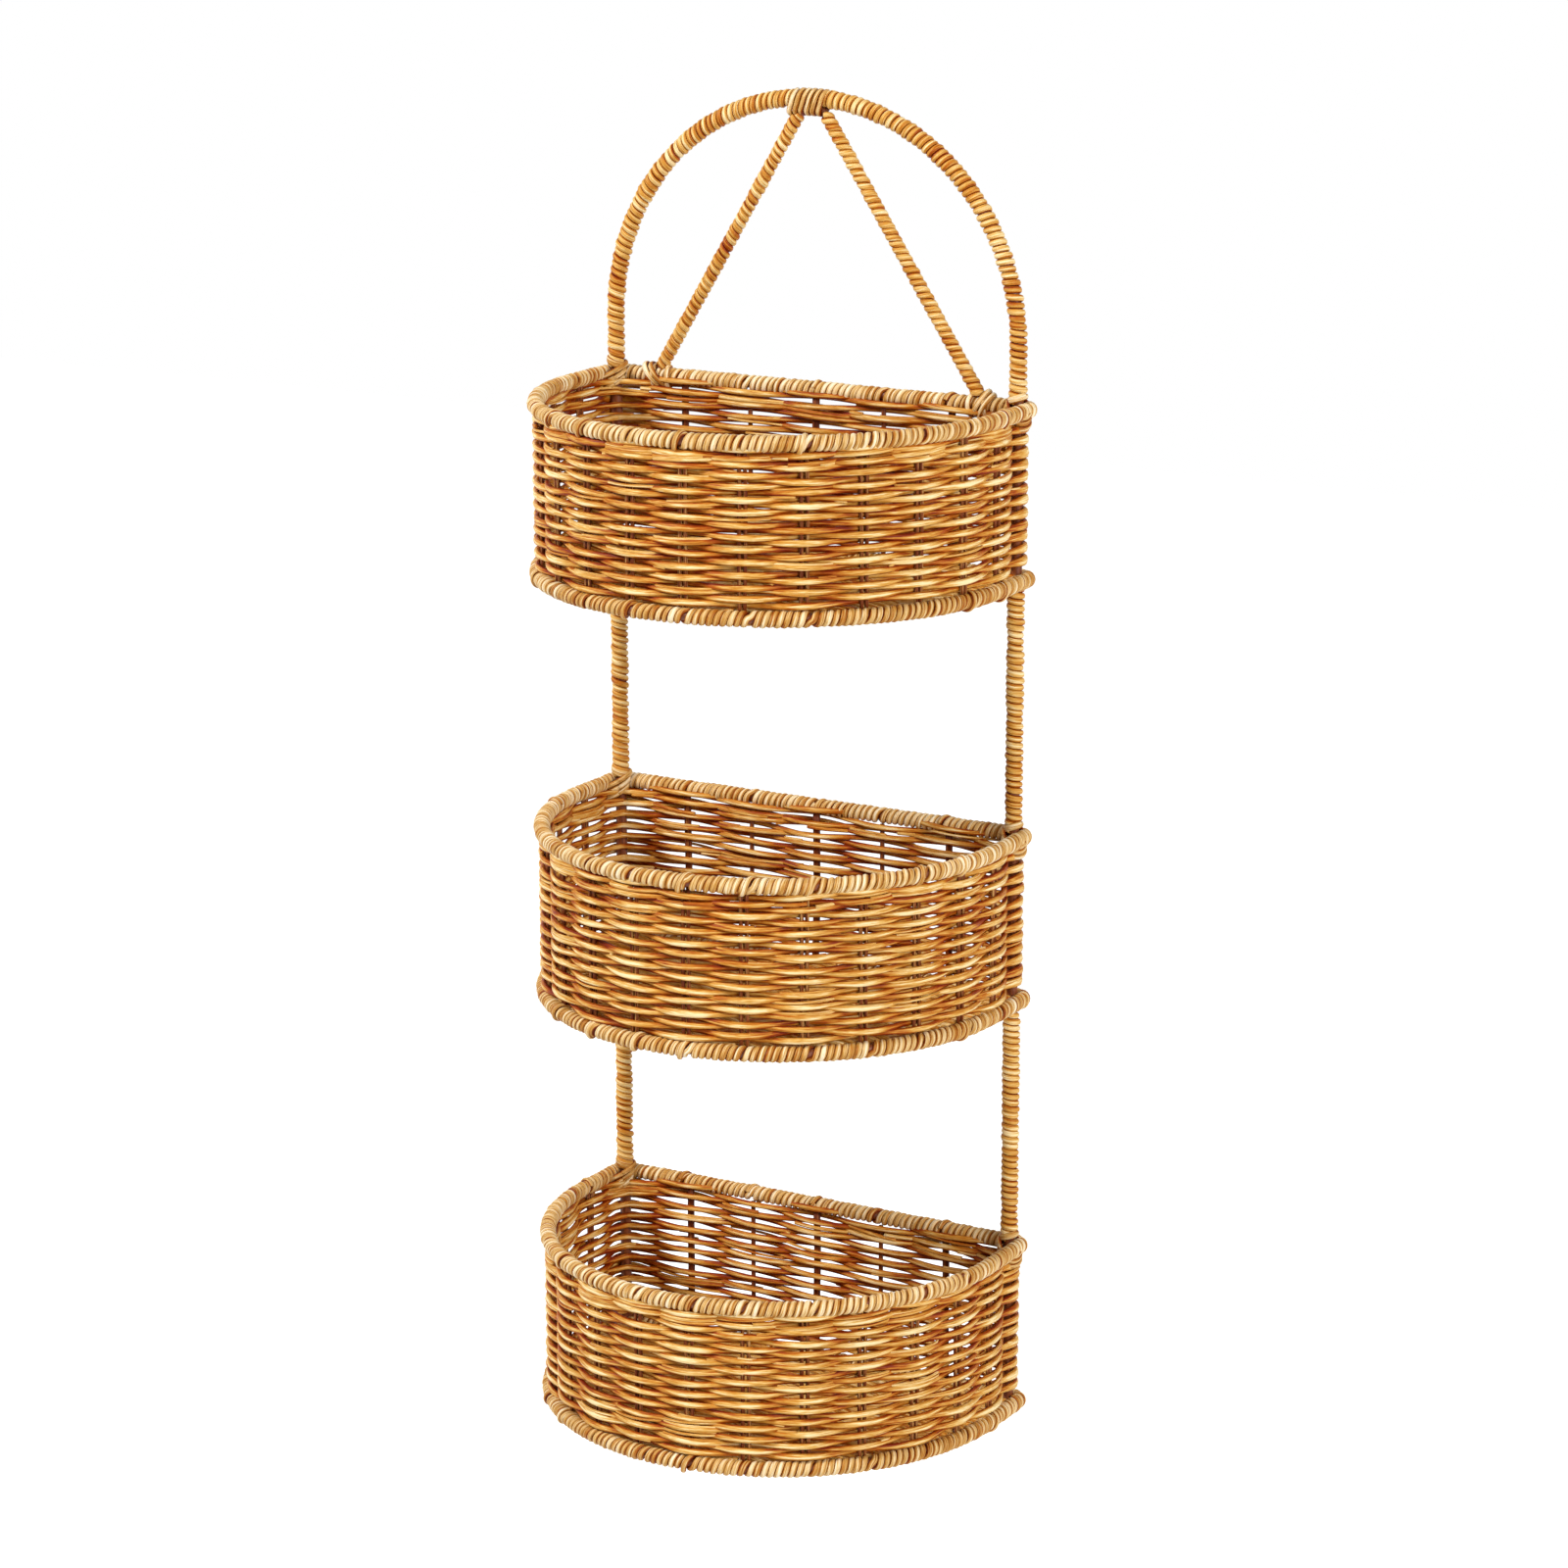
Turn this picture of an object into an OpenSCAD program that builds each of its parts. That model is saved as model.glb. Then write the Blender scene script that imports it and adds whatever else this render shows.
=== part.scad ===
// Wall basket with three half-moon tiers on one hanging frame, all bound and woven in rattan strand.
// X runs along the wall, -Y points into the room and +Z is up. Lengths are in millimetres.
// The origin is the hanging point: the underside of the lashing at the top of the arch.

/* [Hanging frame] */
// Distance between the two legs, centre to centre
leg_spacing = 240; // [200:1:280]
// Straight length of the legs from the top basket's rim to where the arch begins
arch_straight = 32; // [20:1:60]
// Diameter of the bent frame rod
rod_d = 6; // [5:0.5:7]

/* [V brace] */
// Diameter of the brace rod
brace_rod_d = 4; // [3:0.5:5]
// Distance along the back rail from each leg to the foot of the brace beside it
brace_foot_inset = 22; // [22:1:50]
// Width of the short top of the brace, between its two corners
brace_top_w = 12; // [12:0.5:16]
// Radius of the bends at those corners, to the middle of the rod
brace_bend_r = 3; // [3:0.5:4]

/* [Baskets] */
// Height from one basket's rim to the next one's rim
tier_pitch = 225; // [180:1:260]
// Height of a basket between the centres of its base ring and its rim ring
basket_h = 88; // [70:1:110]
// Straight length of each basket's sides, from the legs to the half-round front
side_straight = 34.5; // [20:0.5:60]
// Diameter of the wire inside the rim and base rings
ring_wire_d = 5; // [4:0.5:6]

/* [Strand] */
// Thickness of the strand bound round the rods and rings
wrap_t = 1.8; // [1.4:0.1:2.2]
// Diameter of the strand that the walls are woven from
weaver_d = 3.2; // [2.6:0.1:3.6]
// Diameter of the strand of the lashings
lash_d = 2.6; // [2.2:0.1:2.8]
// Distance from one turn of a lashing to the next
lash_pitch = 3.6; // [3.4:0.1:4]

/* [Wall and stakes] */
// Thickness of the woven walls
wall_t = 7.6; // [7:0.1:8]
// Distance from the middle of the rings in to the middle of the walls
wall_set_in = 1.5; // [0:0.1:2]
// Diameter of the cane stakes in the back wall
back_cane_d = 4; // [3:0.1:4.4]
// Diameter of the wire stakes in the back wall
back_wire_d = 2.5; // [2:0.1:3]
// Diameter of the cane stakes round the front, which stand in pairs
front_cane_d = 2.2; // [1.8:0.1:2.4]
// Distance between the two canes of a pair, centre to centre
front_cane_pair = 3; // [3:0.1:4]
// Distance between the stakes of the back wall
back_stake_gap = 40; // [30:1:42]
// Number of paired stakes round the front, between the legs
front_stakes = 14; // [10:1:18]
// Width of the openings that the weave leaves between the stakes
opening_w = 13; // [8:0.5:15]
// Height of those openings
opening_h = 3; // [2:0.1:6]
// Rows of openings in a wall
opening_rows = 4; // [2:1:6]

/* [Floor] */
// Thickness of the woven floors
floor_t = 7.6; // [6:0.1:7.6]
// Diameter of the ribs inside the floors
rib_d = 3; // [2.4:0.1:3.4]

/* [Fits] */
// Clearance between a strand and the rod or stake inside it
fit = 0.1; // [0.05:0.01:0.2]
// Clearance between wound or woven pieces that lie against each other
gap = 0.2; // [0.15:0.01:0.3]
// Clearance between a lashing and what it grips
lash_gap = 0.3; // [0.25:0.01:0.4]

/* [Hidden] */
$fn = 64;

// Radii of the rods, and of the rods with strand bound round them
rod_r = rod_d / 2;
rod_wrap_r = rod_r + wrap_t;
brace_rod_r = brace_rod_d / 2;
brace_wrap_r = brace_rod_r + wrap_t;
ring_wire_r = ring_wire_d / 2;
ring_wrap_r = ring_wire_r + wrap_t;

// Half the leg spacing, which is also the radius of the arch
leg_x = leg_spacing / 2;
// Radius at which a ring's wire turns round the bare leg
corner_r = rod_r + gap + ring_wire_r;
// Half width of a ring, which is also the radius of its half-round front
half_w = leg_x + corner_r;
// The same for a wall, and the place of its back
wall_r = half_w - wall_set_in;
wall_y = corner_r - wall_set_in;
// Height of the top of the brace above the arch's centre: both rods are bare where they meet
brace_top_h = leg_x - rod_r - gap - brace_rod_r;
// Height of the arch's centre, which puts the underside of the apex lashing at the origin
arch_z = -(brace_top_h - brace_rod_r - lash_gap - lash_d);
// Heights of the rims and of the bases
function rim_z(tier) = arch_z - arch_straight - tier * tier_pitch;
function base_z(tier) = rim_z(tier) - basket_h;
tier_count = 3;

// Weavers loop round each leg, so the wall has a boss there and two short links that lead to it
boss_r = rod_r + weaver_d;
link_l = 2 * boss_r;
// The walls stop where the wrapped rings come up to meet them
wall_inset = ring_wrap_r - 2 * gap;
// How far a cutting shape runs past what it cuts
overrun = wall_t;

// Places of the stakes
back_x = [for (i = [-2:2]) i * back_stake_gap];
front_length = 2 * side_straight + PI * wall_r;
front_gap = front_length / (front_stakes + 1);
// A place on the front, given by its distance along it from the left leg
function front_point(s) =
    s <= side_straight ? [-wall_r, -s]
    : s >= front_length - side_straight ? [wall_r, s - front_length]
    : let (turn = (s - side_straight) / wall_r * 180 / PI)
        [-wall_r * cos(turn), -side_straight - wall_r * sin(turn)];
front_points = [
    for (i = [1:front_stakes], side = [-1, 1]) front_point(i * front_gap + side * front_cane_pair / 2)
];

// A turn of a lashing has 24 rings of 6 sides
lash_rings = 24;
tube_sides = 6;
lash_r = lash_d / 2;
apex_turns = 3;
corner_turns = 2;
foot_turns = 2;

function unit(v) = v / norm(v);

// Right arm of the brace, from its sharp corner to its foot on the axis of the back rail
arm_corner = [brace_top_w / 2, 0, arch_z + brace_top_h];
arm_foot = [leg_x - brace_foot_inset, corner_r, rim_z(0)];
arm_way = unit(arm_foot - arm_corner);
// The bend that rounds the corner: it starts along X and turns towards bend_in
bend_steps = 6;
bend_turn = acos(arm_way[0]);
bend_start = arm_corner - [brace_bend_r * tan(bend_turn / 2), 0, 0];
bend_in = unit([0, arm_way[1], arm_way[2]]);
bend_points = [for (i = [0:bend_steps])
    let (turn = bend_turn * i / bend_steps)
    bend_start + brace_bend_r * [sin(turn), 0, 0] + brace_bend_r * (1 - cos(turn)) * bend_in];
// Middle of the brace rod, from its left foot to its right foot
arm_path = concat(bend_points, [arm_foot]);
brace_path = concat([for (i = [len(arm_path) - 1:-1:0]) [-arm_path[i][0], arm_path[i][1], arm_path[i][2]]], arm_path);
brace_sides = 24;
// The strand on the arms starts clear of the apex lashing
arm_wrap_start = arm_corner + (brace_rod_r + lash_d) * arm_way;
// Half the angle of the arch that its strand leaves bare, between the corners of the brace
apex_lean = asin((arm_corner[0] + brace_rod_r + lash_r) / leg_x);

function low(path, axis) = min([for (p = path) p[axis]]);
function high(path, axis) = max([for (p = path) p[axis]]);

// A member that a lashing grips is [point on its axis, direction, radius].
// Its centre in the plane that lies off along the normal:
function member_centre(m, normal, off) = m[0] + m[1] * ((off - m[0] * normal) / (m[1] * normal));

// Each turn is the tight loop round two members in a plane spanned by across and along.
// The planes step along the normal, and their middle lies shift beyond the point where the members cross.
function lash_path(m1, m2, across, along, turns, shift) =
    let (
        normal = cross(across, along),
        stretch = 1 / min(abs(m1[1] * normal), abs(m2[1] * normal)),
        clear = lash_gap + lash_r
    )
    [for (i = [0:turns * lash_rings])
        let (
            off = m1[0] * normal + shift + lash_pitch * (i / lash_rings - turns / 2),
            turn = 360 * i / lash_rings,
            w = [cos(turn), sin(turn)],
            p1 = member_centre(m1, normal, off),
            p2 = member_centre(m2, normal, off),
            c1 = [p1 * across, p1 * along / stretch],
            c2 = [p2 * across, p2 * along / stretch],
            c = c1 * w + m1[2] > c2 * w + m2[2] ? c1 + (m1[2] + clear) * w : c2 + (m2[2] + clear) * w
        )
        across * c[0] + along * (stretch * c[1]) + normal * off];

// The same round the arch and the top of the brace, in planes through the arch's centre
function apex_angle(i) = lash_pitch * (i / lash_rings - apex_turns / 2) / leg_x * 180 / PI;
function apex_path() =
    [for (i = [0:apex_turns * lash_rings])
        let (
            lean = apex_angle(i),
            turn = 360 * i / lash_rings,
            top_h = brace_top_h / cos(lean),
            on_arch = leg_x * cos(turn) + rod_r > top_h * cos(turn) + brace_rod_r,
            reach = (on_arch ? rod_r : brace_rod_r) + lash_gap + lash_r,
            out = (on_arch ? leg_x : top_h) + reach * cos(turn)
        )
        [out * sin(lean), reach * sin(turn), arch_z + out * cos(lean)]];
function apex_normals() = [for (i = [0:apex_turns * lash_rings]) [cos(apex_angle(i)), 0, -sin(apex_angle(i))]];

// A path with one more point at each end, which makes its ends straight for one tube diameter
function with_ends(path) =
    let (n = len(path) - 1)
    concat(
        [path[0] + lash_d * unit(path[0] - path[1])],
        path,
        [path[n] + lash_d * unit(path[n] - path[n - 1])]
    );
function same_ends(list) = concat([list[0]], list, [list[len(list) - 1]]);

// Least distance between two places of a lashing that are half a turn or more apart, less its diameter
function least_gap(path) =
    let (last = len(path) - 1)
    min([for (i = [0:last]) for (j = [i + lash_rings / 2:1:last]) norm(path[i] - path[j])]) - lash_d;

// Right corner: the lashing slants from the leg above the rim to the side of the rim before the leg
slant = sqrt(0.5);
corner_leg = [[leg_x, 0, 0], [0, 0, 1], rod_wrap_r];
corner_side = [[half_w, 0, 0], [0, 1, 0], ring_wrap_r];
corner_along = [0, slant, slant];
corner_shift = corner_turns * lash_pitch / 2;
corner_path = lash_path(corner_leg, corner_side, [1, 0, 0], corner_along, corner_turns, corner_shift);
corner_normal = cross([1, 0, 0], corner_along);

// Right foot of the brace: the lashing grips the arm and the back rail
foot_arm = [[arm_foot[0], arm_foot[1], 0], -arm_way, brace_wrap_r];
foot_rail = [[arm_foot[0], arm_foot[1], 0], [1, 0, 0], ring_wrap_r];
foot_along = [slant, 0, slant];
foot_path = lash_path(foot_arm, foot_rail, [0, 1, 0], foot_along, foot_turns, 0);
foot_normal = cross([0, 1, 0], foot_along);

echo(str("Least gap in the apex lashing: ", least_gap(apex_path()), " mm"));
echo(str("Least gap in a corner lashing: ", least_gap(corner_path), " mm"));
echo(str("Least gap in a brace lashing: ", least_gap(foot_path), " mm"));

// Colours as the photograph shows them
steel = "#4a3a30";
pale_strand = "#dcb87a";
gold_strand = "#c8934a";
brown_cane = "#7c4223";

// Shared shapes

// Round section, hollow where inner is more than 0
module section(outer, inner) {
    difference() {
        circle(r = outer);
        if (inner > 0) circle(r = inner);
    }
}

// Round sleeve from one point to another
module sleeve(from, to, outer, inner) {
    way = to - from;
    translate(from)
        rotate([0, acos(way[2] / norm(way)), atan2(way[1], way[0])])
            linear_extrude(norm(way)) section(outer, inner);
}

// Half-moon ring along the wall, round both legs and round the front, at height 0
module ring(outer, inner) {
    translate([-leg_x, corner_r, 0]) rotate([0, 90, 0]) linear_extrude(leg_spacing) section(outer, inner);
    for (side = [0, 1]) mirror([side, 0, 0]) {
        translate([leg_x, 0, 0]) rotate_extrude(angle = 90) translate([corner_r, 0]) section(outer, inner);
        translate([half_w, 0, 0]) rotate([90, 0, 0]) linear_extrude(side_straight) section(outer, inner);
    }
    translate([0, -side_straight, 0]) rotate([0, 0, 180])
        rotate_extrude(angle = 180) translate([half_w, 0]) section(outer, inner);
}

// Strand bound round that ring, notched where the ring passes a bare leg
module ring_wrap() difference() {
    ring(ring_wrap_r, ring_wire_r + fit);
    for (side = [-1, 1]) translate([side * leg_x, 0, -overrun]) cylinder(h = 2 * overrun, r = rod_r + gap);
}

// Half of the plane in front of a line across, at least as wide as a basket
module front_half(y) {
    span = half_w + overrun;
    translate([-span, y - 2 * span]) square([2 * span, 2 * span]);
}

// Plan of a wall's links and bosses at the legs, made thicker by grow on each face
module wall_corners(grow) {
    half_t = wall_t / 2 + grow;
    for (side = [0, 1]) mirror([side, 0]) {
        polygon([
            [wall_r - half_t, -link_l], [wall_r + half_t, -link_l], [leg_x + half_t, 0], [leg_x - half_t, 0]
        ]);
        polygon([
            [leg_x - link_l, wall_y - half_t], [leg_x, -half_t], [leg_x, half_t], [leg_x - link_l, wall_y + half_t]
        ]);
        translate([leg_x, 0]) circle(r = boss_r + grow);
    }
}

// Plan of a woven wall
module wall_plan() {
    half_t = wall_t / 2;
    intersection() {
        translate([0, -side_straight]) difference() {
            circle(r = wall_r + half_t);
            circle(r = wall_r - half_t);
        }
        front_half(-side_straight);
    }
    translate([link_l - leg_x, wall_y - half_t]) square([2 * (leg_x - link_l), wall_t]);
    for (side = [-1, 1]) translate([side * wall_r - half_t, -side_straight]) square([wall_t, side_straight - link_l]);
    wall_corners(0);
}

// Holes for the legs and the stakes in that plan
module stake_holes() {
    for (side = [-1, 1]) translate([side * leg_x, 0]) circle(r = rod_r + fit);
    for (i = [0:4]) translate([back_x[i], wall_y])
        circle(r = (i % 2 == 0 ? back_cane_d : back_wire_d) / 2 + fit);
    for (p = front_points) translate(p) circle(r = front_cane_d / 2 + fit);
}

// Row after row of openings, between the stakes of the back and of the round front
module wall_openings() {
    size = [opening_w, 2 * overrun, opening_h];
    end_x = (back_x[4] + leg_x - link_l) / 2;
    for (row = [1:opening_rows]) translate([0, 0, row * basket_h / (opening_rows + 1)]) {
        for (x = concat([-end_x, end_x], [for (i = [0:3]) (back_x[i] + back_x[i + 1]) / 2]))
            translate([x, wall_y, 0]) cube(size, center = true);
        for (i = [2:front_stakes - 2]) {
            turn = ((i + 1 / 2) * front_gap - side_straight) / wall_r * 180 / PI;
            translate([0, -side_straight, 0]) rotate([0, 0, turn - 90]) translate([0, -wall_r, 0])
                cube(size, center = true);
        }
    }
}

// Space that a lashing takes in the top of a wall
module lash_room(path) {
    margin = lash_r + lash_gap;
    lo = [for (axis = [0:2]) low(path, axis) - margin];
    translate(lo) cube([high(path, 0) + margin - lo[0], high(path, 1) + margin - lo[1], -lo[2]]);
}

// Unbroken tube of radius r along a path
module tube(path, normals, r, sides) {
    last = len(path) - 1;
    points = [for (i = [0:last])
        let (
            way = unit(path[min(i + 1, last)] - path[max(i - 1, 0)]),
            side = unit(cross(way, normals[i])),
            up = cross(way, side)
        )
        for (j = [0:sides - 1]) path[i] + r * (cos(360 * j / sides) * side + sin(360 * j / sides) * up)];
    walls = [for (i = [0:last - 1]) for (j = [0:sides - 1])
        let (
            a = i * sides + j,
            b = i * sides + (j + 1) % sides
        )
        each [[a, a + sides, b + sides], [a, b + sides, b]]];
    end = last * sides;
    caps = [for (j = [1:sides - 2]) each [[0, j, j + 1], [end, end + j + 1, end + j]]];
    polyhedron(points = points, faces = concat(walls, caps));
}

// What the back rail of the top basket takes off the feet of the brace
module rail_cut() {
    translate([-leg_x, corner_r, rim_z(0)]) rotate([0, 90, 0]) cylinder(h = leg_spacing, r = ring_wrap_r + gap);
}

// Sub-parts of the hanging frame

module frame_rod() color(steel) {
    foot_z = base_z(tier_count - 1) - ring_wrap_r;
    translate([0, 0, arch_z]) rotate([90, 0, 0])
        rotate_extrude(angle = 180) translate([leg_x, 0]) circle(r = rod_r);
    for (side = [-1, 1]) translate([side * leg_x, 0, foot_z]) cylinder(h = arch_z - foot_z, r = rod_r);
}

// Strand bound round one half of the arch, down to the top basket's rim: 0 for the right half, 1 for the left
module arch_wrap(side) color(gold_strand) mirror([side, 0, 0]) {
    foot_z = rim_z(0) + ring_wrap_r + fit;
    translate([0, 0, arch_z]) rotate([90, 0, 0])
        rotate_extrude(angle = 90 - apex_lean) translate([leg_x, 0]) section(rod_wrap_r, rod_r + fit);
    translate([leg_x, 0, foot_z]) linear_extrude(arch_z - foot_z) section(rod_wrap_r, rod_r + fit);
}

// Strand bound round one leg, from under one basket's base to the next one's rim
module leg_wrap(side, tier) color(gold_strand) {
    foot_z = rim_z(tier + 1) + ring_wrap_r + fit;
    top_z = base_z(tier) - ring_wrap_r - fit;
    translate([side * leg_x, 0, foot_z]) linear_extrude(top_z - foot_z) section(rod_wrap_r, rod_r + fit);
}

module brace_rod() color(steel) difference() {
    tube(brace_path, [for (p = brace_path) cross(arm_way, [1, 0, 0])], brace_rod_r, brace_sides);
    rail_cut();
}

// Strand bound round one arm of the brace: 0 for the right one and 1 for the left one
module brace_wrap(side) color(gold_strand) mirror([side, 0, 0]) difference() {
    sleeve(arm_wrap_start, arm_foot, brace_wrap_r, brace_rod_r + fit);
    rail_cut();
}

module apex_lashing() color(pale_strand)
    tube(with_ends(apex_path()), same_ends(apex_normals()), lash_r, tube_sides);

// Lashing at one foot of the brace: 0 for the right one and 1 for the left one
module brace_lashing(side) color(pale_strand)
    mirror([side, 0, 0]) translate([0, 0, rim_z(0)])
        tube(with_ends(foot_path), [for (i = [-1:len(foot_path)]) foot_normal], lash_r, tube_sides);

// Sub-parts of a basket

module rim_wire(tier) color(steel) translate([0, 0, rim_z(tier)]) ring(ring_wire_r, 0);

module rim_wrap(tier) color(pale_strand) translate([0, 0, rim_z(tier)]) ring_wrap();

module base_wire(tier) color(steel) translate([0, 0, base_z(tier)]) ring(ring_wire_r, 0);

module base_wrap(tier) color(pale_strand) translate([0, 0, base_z(tier)]) ring_wrap();

// Stakes stand on the base ring and reach the rim ring
module stake(place, d, tier) {
    foot_z = base_z(tier) + ring_wrap_r + fit;
    translate([place[0], place[1], foot_z]) cylinder(h = basket_h - 2 * (ring_wrap_r + fit), d = d);
}

module cane_stakes(tier) color(brown_cane) {
    for (i = [0:2:4]) stake([back_x[i], wall_y], back_cane_d, tier);
    for (p = front_points) stake(p, front_cane_d, tier);
}

module wire_stakes(tier) color(steel)
    for (i = [1:2:3]) stake([back_x[i], wall_y], back_wire_d, tier);

module wall_weave(tier) color(gold_strand) difference() {
    translate([0, 0, base_z(tier) + wall_inset]) linear_extrude(basket_h - 2 * wall_inset) difference() {
        wall_plan();
        stake_holes();
    }
    translate([0, 0, base_z(tier)]) {
        ring(ring_wrap_r + fit, 0);
        wall_openings();
    }
    translate([0, 0, rim_z(tier)]) {
        ring(ring_wrap_r + fit, 0);
        for (side = [0, 1]) mirror([side, 0, 0]) {
            lash_room(corner_path);
            if (tier == 0) lash_room(foot_path);
        }
    }
}

// Plan of a floor: it fills the space inside the base ring and the wall
module floor_plan() {
    floor_r = min(half_w - ring_wrap_r, wall_r - wall_t / 2) - gap;
    floor_y = min(corner_r - ring_wrap_r, wall_y - wall_t / 2) - gap;
    difference() {
        union() {
            intersection() {
                translate([0, -side_straight]) circle(r = floor_r);
                front_half(-side_straight);
            }
            translate([-floor_r, -side_straight]) square([2 * floor_r, side_straight + floor_y]);
        }
        wall_corners(gap);
    }
}

// Front end of a floor rib, where its corner comes up to the base ring
function rib_front(x) = -side_straight - sqrt(pow(half_w - ring_wrap_r - gap, 2) - pow(abs(x) + rib_d / 2, 2));

// Floor ribs of diameter d, which run from the back to the front at the places of the back stakes
module ribs(d, tier) {
    back_y = corner_r - ring_wrap_r - gap;
    for (x = back_x) translate([x, back_y, base_z(tier)]) rotate([90, 0, 0])
        cylinder(h = back_y - rib_front(x), d = d);
}

module floor_ribs(tier) color(steel) ribs(rib_d, tier);

module floor_weave(tier) color(gold_strand) difference() {
    translate([0, 0, base_z(tier) - floor_t / 2]) linear_extrude(floor_t) floor_plan();
    for (x = back_x) translate([x, overrun, base_z(tier)]) rotate([90, 0, 0])
        cylinder(h = 2 * (side_straight + half_w), d = rib_d + 2 * fit);
}

// Lashing of one corner of a rim to its leg: 0 for the right one and 1 for the left one
module corner_lashing(side, tier) color(pale_strand)
    mirror([side, 0, 0]) translate([0, 0, rim_z(tier)])
        tube(with_ends(corner_path), [for (i = [-1:len(corner_path)]) corner_normal], lash_r, tube_sides);

frame_rod();
arch_wrap(1);  // left_arch_wrap
arch_wrap(0);  // right_arch_wrap
leg_wrap(-1, 0);  // left_upper_leg_wrap
leg_wrap(1, 0);  // right_upper_leg_wrap
leg_wrap(-1, 1);  // left_lower_leg_wrap
leg_wrap(1, 1);  // right_lower_leg_wrap
brace_rod();
brace_wrap(1);  // left_brace_wrap
brace_wrap(0);  // right_brace_wrap
apex_lashing();
brace_lashing(1);  // left_brace_lashing
brace_lashing(0);  // right_brace_lashing
rim_wire(0);  // top_rim_wire
rim_wrap(0);  // top_rim_wrap
base_wire(0);  // top_base_wire
base_wrap(0);  // top_base_wrap
cane_stakes(0);  // top_cane_stakes
wire_stakes(0);  // top_wire_stakes
wall_weave(0);  // top_wall_weave
floor_ribs(0);  // top_floor_ribs
floor_weave(0);  // top_floor_weave
corner_lashing(1, 0);  // top_left_corner_lashing
corner_lashing(0, 0);  // top_right_corner_lashing
rim_wire(1);  // middle_rim_wire
rim_wrap(1);  // middle_rim_wrap
base_wire(1);  // middle_base_wire
base_wrap(1);  // middle_base_wrap
cane_stakes(1);  // middle_cane_stakes
wire_stakes(1);  // middle_wire_stakes
wall_weave(1);  // middle_wall_weave
floor_ribs(1);  // middle_floor_ribs
floor_weave(1);  // middle_floor_weave
corner_lashing(1, 1);  // middle_left_corner_lashing
corner_lashing(0, 1);  // middle_right_corner_lashing
rim_wire(2);  // bottom_rim_wire
rim_wrap(2);  // bottom_rim_wrap
base_wire(2);  // bottom_base_wire
base_wrap(2);  // bottom_base_wrap
cane_stakes(2);  // bottom_cane_stakes
wire_stakes(2);  // bottom_wire_stakes
wall_weave(2);  // bottom_wall_weave
floor_ribs(2);  // bottom_floor_ribs
floor_weave(2);  // bottom_floor_weave
corner_lashing(1, 2);  // bottom_left_corner_lashing
corner_lashing(0, 2);  // bottom_right_corner_lashing
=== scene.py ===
"""Looks of a three-tier rattan wall basket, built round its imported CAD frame.

Lengths are in metres. A tone runs from dark 0 to pale 1. A wander is a pair of values: how far
it is along a strand from one random aim to the next, and how far the aims lie from the mean.
"""

import math

import bpy
import numpy as np
from mathutils import Matrix, Vector


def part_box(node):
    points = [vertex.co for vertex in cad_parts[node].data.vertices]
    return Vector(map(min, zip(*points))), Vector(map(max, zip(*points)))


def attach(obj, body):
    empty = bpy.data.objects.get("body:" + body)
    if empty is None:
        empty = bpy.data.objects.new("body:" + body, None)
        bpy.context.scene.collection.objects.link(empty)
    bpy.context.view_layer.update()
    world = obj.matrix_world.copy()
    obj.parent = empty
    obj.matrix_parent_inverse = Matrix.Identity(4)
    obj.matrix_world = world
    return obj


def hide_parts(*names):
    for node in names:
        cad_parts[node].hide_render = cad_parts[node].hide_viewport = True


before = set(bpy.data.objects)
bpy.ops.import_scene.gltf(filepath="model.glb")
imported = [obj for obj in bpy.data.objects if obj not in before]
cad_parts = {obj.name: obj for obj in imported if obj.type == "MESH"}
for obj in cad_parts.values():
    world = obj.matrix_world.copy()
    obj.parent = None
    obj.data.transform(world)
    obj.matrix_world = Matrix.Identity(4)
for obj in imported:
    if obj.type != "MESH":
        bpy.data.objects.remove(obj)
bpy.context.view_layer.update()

MM = 0.001
TIERS = ("top", "middle", "bottom")
SIDES = {"left": -1, "right": 1}
SEEDS = {
    "arch": 100, "leg": 110, "apex": 120, "arm": 130, "foot": 140, "rim": 200, "base": 210,
    "wall": 220, "stakes": 230, "floor": 240, "corners": 250,
}
UP = np.array([0, 0, 1.0])
RIGHT = np.array([1.0, 0, 0])
TO_WALL = np.array([0, 1.0, 0])
TO_ROOM = np.array([0, -1.0, 0])

# Woven strand: half its thickness, half its height where it bows out over a front stake, over a
# leg, and over a back stake or inside, and its middle's distance from the side of what it passes
WEAVER_R = 1.6 * MM
FLOAT_HALF_H = 1.85 * MM
LEG_HALF_H = 2.8 * MM
BACK_HALF_H = 1.6 * MM
CROSSING_R = 0.94 * WEAVER_R

# Bound turn and lashing: half thickness and half width
TURN_HALF_T = 1.45 * MM
LASH_HALF_T = 1.15 * MM
LASH_HALF_W = 1.5 * MM

# Stakes and ribs, as the CAD model places them
BACK_STAKE_GAP = 40 * MM
BACK_STAKES_A_SIDE = 2
BACK_CANE_R = 2 * MM
BACK_WIRE_R = 1.25 * MM
FRONT_CANE_R = 1.1 * MM
FRONT_CANE_PAIR = 3 * MM
FRONT_STAKES = 14
RIB_R = 1.5 * MM

# Distance from the middle of the rings in to the middle of the walls
WALL_SET_IN = 1.5 * MM

# Brace: its rod, the strand on it, where its feet stand, and its corners at the top
BRACE_ROD_R = 2 * MM
BRACE_STRAND_T = 1.8 * MM
BRACE_FOOT_INSET = 22 * MM
BRACE_TOP_HALF = 6 * MM


def box(node):
    """Lowest and highest corner of a CAD node as arrays."""
    low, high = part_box(node)
    return np.array(low), np.array(high)


def middle(node):
    low, high = box(node)
    return (low + high) / 2


def half(node, axis):
    low, high = box(node)
    return (high[axis] - low[axis]) / 2


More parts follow.
